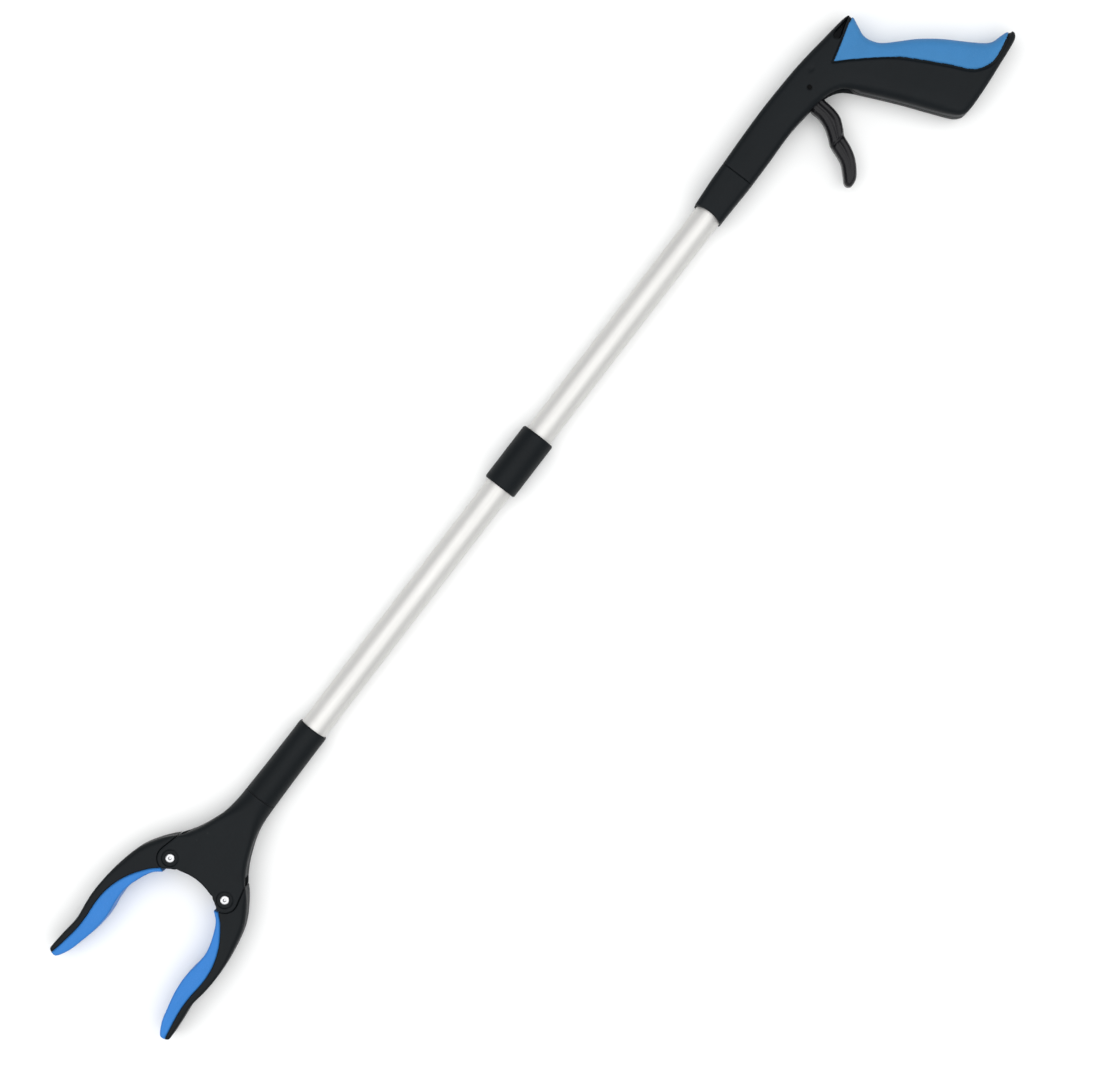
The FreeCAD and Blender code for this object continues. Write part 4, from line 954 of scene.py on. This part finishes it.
def make_socket():
    piece = turned("socket_sleeve", soften(SOCKET, SOCKET_ROUNDING))
    finish_piece(piece, "lower_section", BLACK, "black_plastic", "head_socket")


def make_collar():
    piece = turned("collar_sleeve", soften(COLLAR, COLLAR_ROUNDING))
    finish_piece(piece, "lock_collar", BLACK, "black_plastic", "lock_collar")


# ---------------------------------------------------------------- rivets, screws, spring, cable


def joined_object(name, parts):
    """Several meshes as one piece."""
    points, faces = [], []
    for more_points, more_faces in parts:
        faces.append(np.asarray(more_faces) + sum(len(item) for item in points))
        points.append(np.asarray(more_points))
    return mesh_object(name, np.concatenate(points), np.concatenate(faces))


RIVET_HEAD = [(0, 2.5), (0.02, 3.1), (0.35, 3.2), (0.8, 2.9), (1.08, 2.2)]
RIVET_DIMPLE = [(1.12, 1.45), (0.9, 1.15), (-0.9, 1.0), (-1.1, 0.0)]


def make_rivets():
    """Semi-tubular rivets: a low domed head at each end with a deep dimple in it."""
    face = YOKE_HALF - RIVET_WELL_DEPTH
    end = [(face + height, radius) for height, radius in RIVET_HEAD + RIVET_DIMPLE]
    half = [tuple(point) for point in smooth(end, cuts=4)]
    profile = half + [(-along, radius) for along, radius in reversed(half)]
    upright = Matrix.Rotation(math.radians(-90), 4, "Y")
    parts = []
    for side in (1, -1):
        points, faces = lathe(profile)
        place = Matrix.Translation((JAW_PIN.x, side * JAW_PIN.y, 0)) @ upright
        parts.append(([place @ Vector(point) for point in points], faces))
    piece = joined_object("rivets", parts)
    weld(piece)
    finish_piece(piece, "head", STEEL, "plated_steel", "jaw_rivets")


SCREW_GRID = 0.16
SCREW_ROOM = ((-3.2, -3.2, -0.4), (3.2, 3.2, 18.4))
SCREW_HEAD_RADIUS = 2.75
SCREW_HEAD_HEIGHT = 2.2
SCREW_HEAD_ROUNDING = 0.6
SCREW_CORE = 1.34
SCREW_LENGTH = 18.0
THREAD_DEPTH = 0.16
THREAD_PITCH = 1.1
RECESS_HALF = 0.34
RECESS_REACH = 1.5
RECESS_TAPER = 0.5
RECESS_DEPTH = 1.4
RECESS_EDGE = 0.08


def screw_net():
    """A pan-head screw with a cross recess, its head down at z 0."""
    block = Block(*SCREW_ROOM, SCREW_GRID)
    radius = np.hypot(block.x, block.y)
    ends = np.maximum(-block.z, block.z - SCREW_HEAD_HEIGHT)
    head = common(radius - SCREW_HEAD_RADIUS, ends, SCREW_HEAD_ROUNDING)
    turns = block.z / THREAD_PITCH - np.arctan2(block.y, block.x) / (2 * math.pi)
    thread = THREAD_DEPTH * np.cos(turns * 2 * math.pi)
    shank = np.maximum(radius - SCREW_CORE - thread, np.maximum(-block.z, block.z - SCREW_LENGTH))
    taper = block.z * RECESS_TAPER
    arm_one = np.maximum(np.abs(block.x) - RECESS_HALF, np.abs(block.y) - RECESS_REACH + taper)
    arm_two = np.maximum(np.abs(block.y) - RECESS_HALF, np.abs(block.x) - RECESS_REACH + taper)
    cross = np.maximum(np.minimum(arm_one, arm_two), block.z - RECESS_DEPTH)
    return net(block, carved(np.minimum(head, shank), cross, RECESS_EDGE))


def make_screws():
    points, faces = screw_net()
    head_at = SCREW_WELL - SCREW_HEAD_HEIGHT - HANDLE_HALF
    for name, body, node, places in (
        ("handle_fixings", "handle", "handle_screws", HANDLE_SCREWS),
        ("yoke_fixings", "head", "yoke_screws", SCREW_POSTS),
    ):
        parts = [(points + np.array((x, y, head_at)), faces) for x, y in places]
        finish_piece(joined_object(name, parts), body, STEEL, "plated_steel", node)


GRUB_GRID = 0.07
GRUB_ROOM = ((-1.6, -1.6, -1.0), (1.6, 1.6, 1.0))
GRUB_RADIUS = 1.27
GRUB_HALF = 0.68
GRUB_ROUNDING = 0.18
HEXAGON = 0.62
HEXAGON_EDGE = 0.06


def make_socket_screw():
    """A grub screw with a hexagon socket."""
    low, high = corners("socket_screw")
    centre = (low + high) / 2
    block = Block(*GRUB_ROOM, GRUB_GRID)
    radius = np.hypot(block.x, block.y)
    body = common(radius - GRUB_RADIUS, np.abs(block.z) - GRUB_HALF, GRUB_ROUNDING)
    hexagon = -block.z
    for degrees in range(0, 360, 60):
        angle = math.radians(degrees)
        side = block.x * math.cos(angle) + block.y * math.sin(angle) - HEXAGON
        hexagon = np.maximum(hexagon, side)
    body = carved(body, hexagon, HEXAGON_EDGE)
    outward = Vector((0, centre.y, centre.z)).normalized()
    place = Matrix.Translation(centre) @ outward.to_track_quat("Z", "Y").to_matrix().to_4x4()
    piece = mould("grub_screw", block, body, place)
    finish_piece(piece, "lower_section", DARK_STEEL, "plated_steel", "socket_screw")


SLIDER_TRAVEL = JOINTS["slider_slide"]["range_m"][1]  # in metres
WIRE_RADIUS = 0.73
BEND_RADIUS = 0.80
BEND_REACH = (-3.0, 3.0)
BEND_CUT = 0.5
UPPER_BEND = (7.0, 7.0)
LOWER_BEND = (7.0, 11.0)
WIRE_OVERLAP = 0.3
LEAST_SIDE = 1e-3


def wire_along(name, centres, radius, segments=16):
    """A round wire along a row of centres, closed at both ends."""
    points, faces = [], []
    centres = [Vector(centre) for centre in centres]
    for index, centre in enumerate(centres):
        before, after = centres[max(index - 1, 0)], centres[min(index + 1, len(centres) - 1)]
        heading = (after - before).normalized()
        side = heading.cross(Vector((0, 0, 1)))
        side = side.normalized() if side.length > LEAST_SIDE else Vector((0, 1, 0))
        up = side.cross(heading)
        for turn in range(segments):
            angle = 2 * math.pi * turn / segments
            points.append(centre + (side * math.cos(angle) + up * math.sin(angle)) * radius)
    for index in range(len(centres) - 1):
        for turn in range(segments):
            after = (turn + 1) % segments
            here, ahead = index * segments, (index + 1) * segments
            faces.append((here + turn, ahead + turn, ahead + after, here + after))
    last = len(points) - segments
    faces.append(list(range(segments)))
    faces.append([last + turn for turn in reversed(range(segments))])
    return mesh_object(name, points, faces)


SPRING_WIRE = 0.55
SPRING_RADIUS = 5.0
SPRING_TURNS = 9
SPRING_CUTS = 40
SPRING_SEGMENTS = 12
END_TURNS = (0.09, 0.91)
OPEN_SHARE = 0.86


def make_spring():
    """The coil spring, with its end turns closed up."""
    low, high = corners("return_spring")
    length = high.x - low.x - 2 * SPRING_WIRE
    centres = []
    for cut in range(SPRING_TURNS * SPRING_CUTS + 1):
        share = cut / (SPRING_TURNS * SPRING_CUTS)
        along = float(ease(np.array(share), *END_TURNS)) * OPEN_SHARE + share * (1 - OPEN_SHARE)
        angle = 2 * math.pi * cut / SPRING_CUTS
        across, up = SPRING_RADIUS * math.cos(angle), SPRING_RADIUS * math.sin(angle)
        centres.append((low.x + SPRING_WIRE + length * along, across, up))
    piece = wire_along("coil_spring", centres, SPRING_WIRE, SPRING_SEGMENTS)
    finish_piece(piece, "head", WIRE, "steel_wire", "return_spring")
    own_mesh(piece)


def make_cable_bends():
    """The wire over each pin of the fold."""
    for name, joint, before, after, reaches, radius in (
        ("cable_bend_upper", "fold_upper", "handle", "fold_link", UPPER_BEND, WIRE_RADIUS),
        ("cable_bend_lower", "fold_lower", "fold_link", "lower_section", LOWER_BEND, BEND_RADIUS),
    ):
        pin = local(pivot(joint))
        cuts = int(sum(reaches) / BEND_CUT)
        centres = [(pin.x - reaches[0] + BEND_CUT * cut, 0, 0) for cut in range(cuts + 1)]
        piece = wire_along(name, centres, radius)
        piece.data.materials.append(WIRE)
        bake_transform(piece)


def make_pull_wire():
    """The wire to the slider, which slides inside the lower bend when the trigger is pulled."""
    _, high = corners("cable_lower")
    start = local(pivot("fold_lower")).x + SLIDER_TRAVEL / MM + BEND_REACH[1] + WIRE_OVERLAP
    piece = wire_along("pull_wire", [(start, 0, 0), (high.x, 0, 0)], WIRE_RADIUS)
    finish_piece(piece, "slider", WIRE, "steel_wire", "cable_lower")


CAD_MATERIALS = {
    "upper_tube": ALUMINIUM,
    "lower_tube": ALUMINIUM,
    "trigger_pin": PIN_BLACK,
    "cable_barrel": STEEL,
    "cable_upper": WIRE,
    "cable_link": WIRE,
    "cable_stop": STEEL,
    "cable_guide_upper": INNER,
    "cable_guide_lower": INNER,
    "hinge_plug_upper": INNER,
    "hinge_plug_lower": INNER,
    "fold_link": INNER,
    "hinge_rivets_upper": STEEL,
    "hinge_rivets_lower": STEEL,
    "pull_slider": INNER,
}


def paint_cad_nodes():
    """Materials for the CAD nodes that show as they are."""
    for node, material in CAD_MATERIALS.items():
        piece = frame["nodes"][node]
        if not piece.material_slots:
            piece.data.materials.append(material)
        for slot in piece.material_slots:
            slot.material = material


# ---------------------------------------------------------------- studio

VIEW_CENTRE = Vector((31.4, 50.3, 0))
CAMERA_HEIGHT = 1700.0
VIEW_WIDTH = 735.8
IMAGE_RIGHT = Vector((-0.6092, 0.7930, 0)).normalized()
SENSOR_WIDTH = 36.0
FLOOR_REACH = 6.0
FLOOR_ROUGHNESS = 0.9
FLOOR_SPECULAR = 0.1
FLOOR_COLOUR = (0.93, 0.93, 0.92, 1)
SKY_COLOUR = (0.95, 0.97, 1.0, 1)
SKY_STRENGTH = 0.46
# Each softbox is (name, place in metres, width in metres, power in watts).
SOFTBOXES = (
    ("softbox_top", (0.15, 0.10, 2.1), 3.2, 55),
    ("softbox_left", (-1.7, 1.1, 1.3), 1.2, 6),
    ("softbox_right", (1.7, -1.1, 1.3), 1.2, 6),
)


def make_floor():
    signs = [(-1, -1), (1, -1), (1, 1), (-1, 1)]
    points = [(x * FLOOR_REACH, y * FLOOR_REACH, 0) for x, y in signs]
    mesh = bpy.data.meshes.new("floor")
    mesh.from_pydata(points, [], [(0, 1, 2, 3)])
    floor = bpy.data.objects.new("floor", mesh)
    bpy.context.scene.collection.objects.link(floor)
    material, _, principled = shader("pale_floor")
    principled.inputs["Base Color"].default_value = FLOOR_COLOUR
    principled.inputs["Roughness"].default_value = FLOOR_ROUGHNESS
    principled.inputs["Specular IOR Level"].default_value = FLOOR_SPECULAR
    mesh.materials.append(material)


def make_lights():
    world = bpy.data.worlds.new("studio")
    world.use_nodes = True
    background = world.node_tree.nodes["Background"]
    background.inputs["Color"].default_value = SKY_COLOUR
    background.inputs["Strength"].default_value = SKY_STRENGTH
    bpy.context.scene.world = world
    for name, place, size, power in SOFTBOXES:
        light = bpy.data.lights.new(name, "AREA")
        light.shape = "SQUARE"
        light.size = size
        light.energy = power
        lamp = bpy.data.objects.new(name, light)
        lamp.location = place
        lamp.rotation_euler = (-Vector(place)).to_track_quat("-Z", "Y").to_euler()
        bpy.context.scene.collection.objects.link(lamp)


def make_camera():
    camera = bpy.data.cameras.new("camera")
    camera.sensor_fit = "HORIZONTAL"
    camera.sensor_width = SENSOR_WIDTH
    camera.lens = SENSOR_WIDTH * CAMERA_HEIGHT / VIEW_WIDTH
    view = bpy.data.objects.new("camera", camera)
    up = Vector((0, 0, 1)).cross(IMAGE_RIGHT)
    turn = Matrix((IMAGE_RIGHT, up, Vector((0, 0, 1)))).transposed().to_4x4()
    centre = ORIGIN + (VIEW_CENTRE + Vector((0, 0, CAMERA_HEIGHT))) * MM
    view.matrix_world = Matrix.Translation(centre) @ turn
    bpy.context.scene.collection.objects.link(view)
    bpy.context.scene.camera = view
    bpy.context.scene.view_settings.view_transform = "Standard"


make_handle()
make_nose()
make_trigger()
make_yoke()
make_jaws()
make_socket()
make_collar()
make_rivets()
make_screws()
make_socket_screw()
make_spring()
make_cable_bends()
make_pull_wire()
paint_cad_nodes()
make_floor()
make_lights()
make_camera()
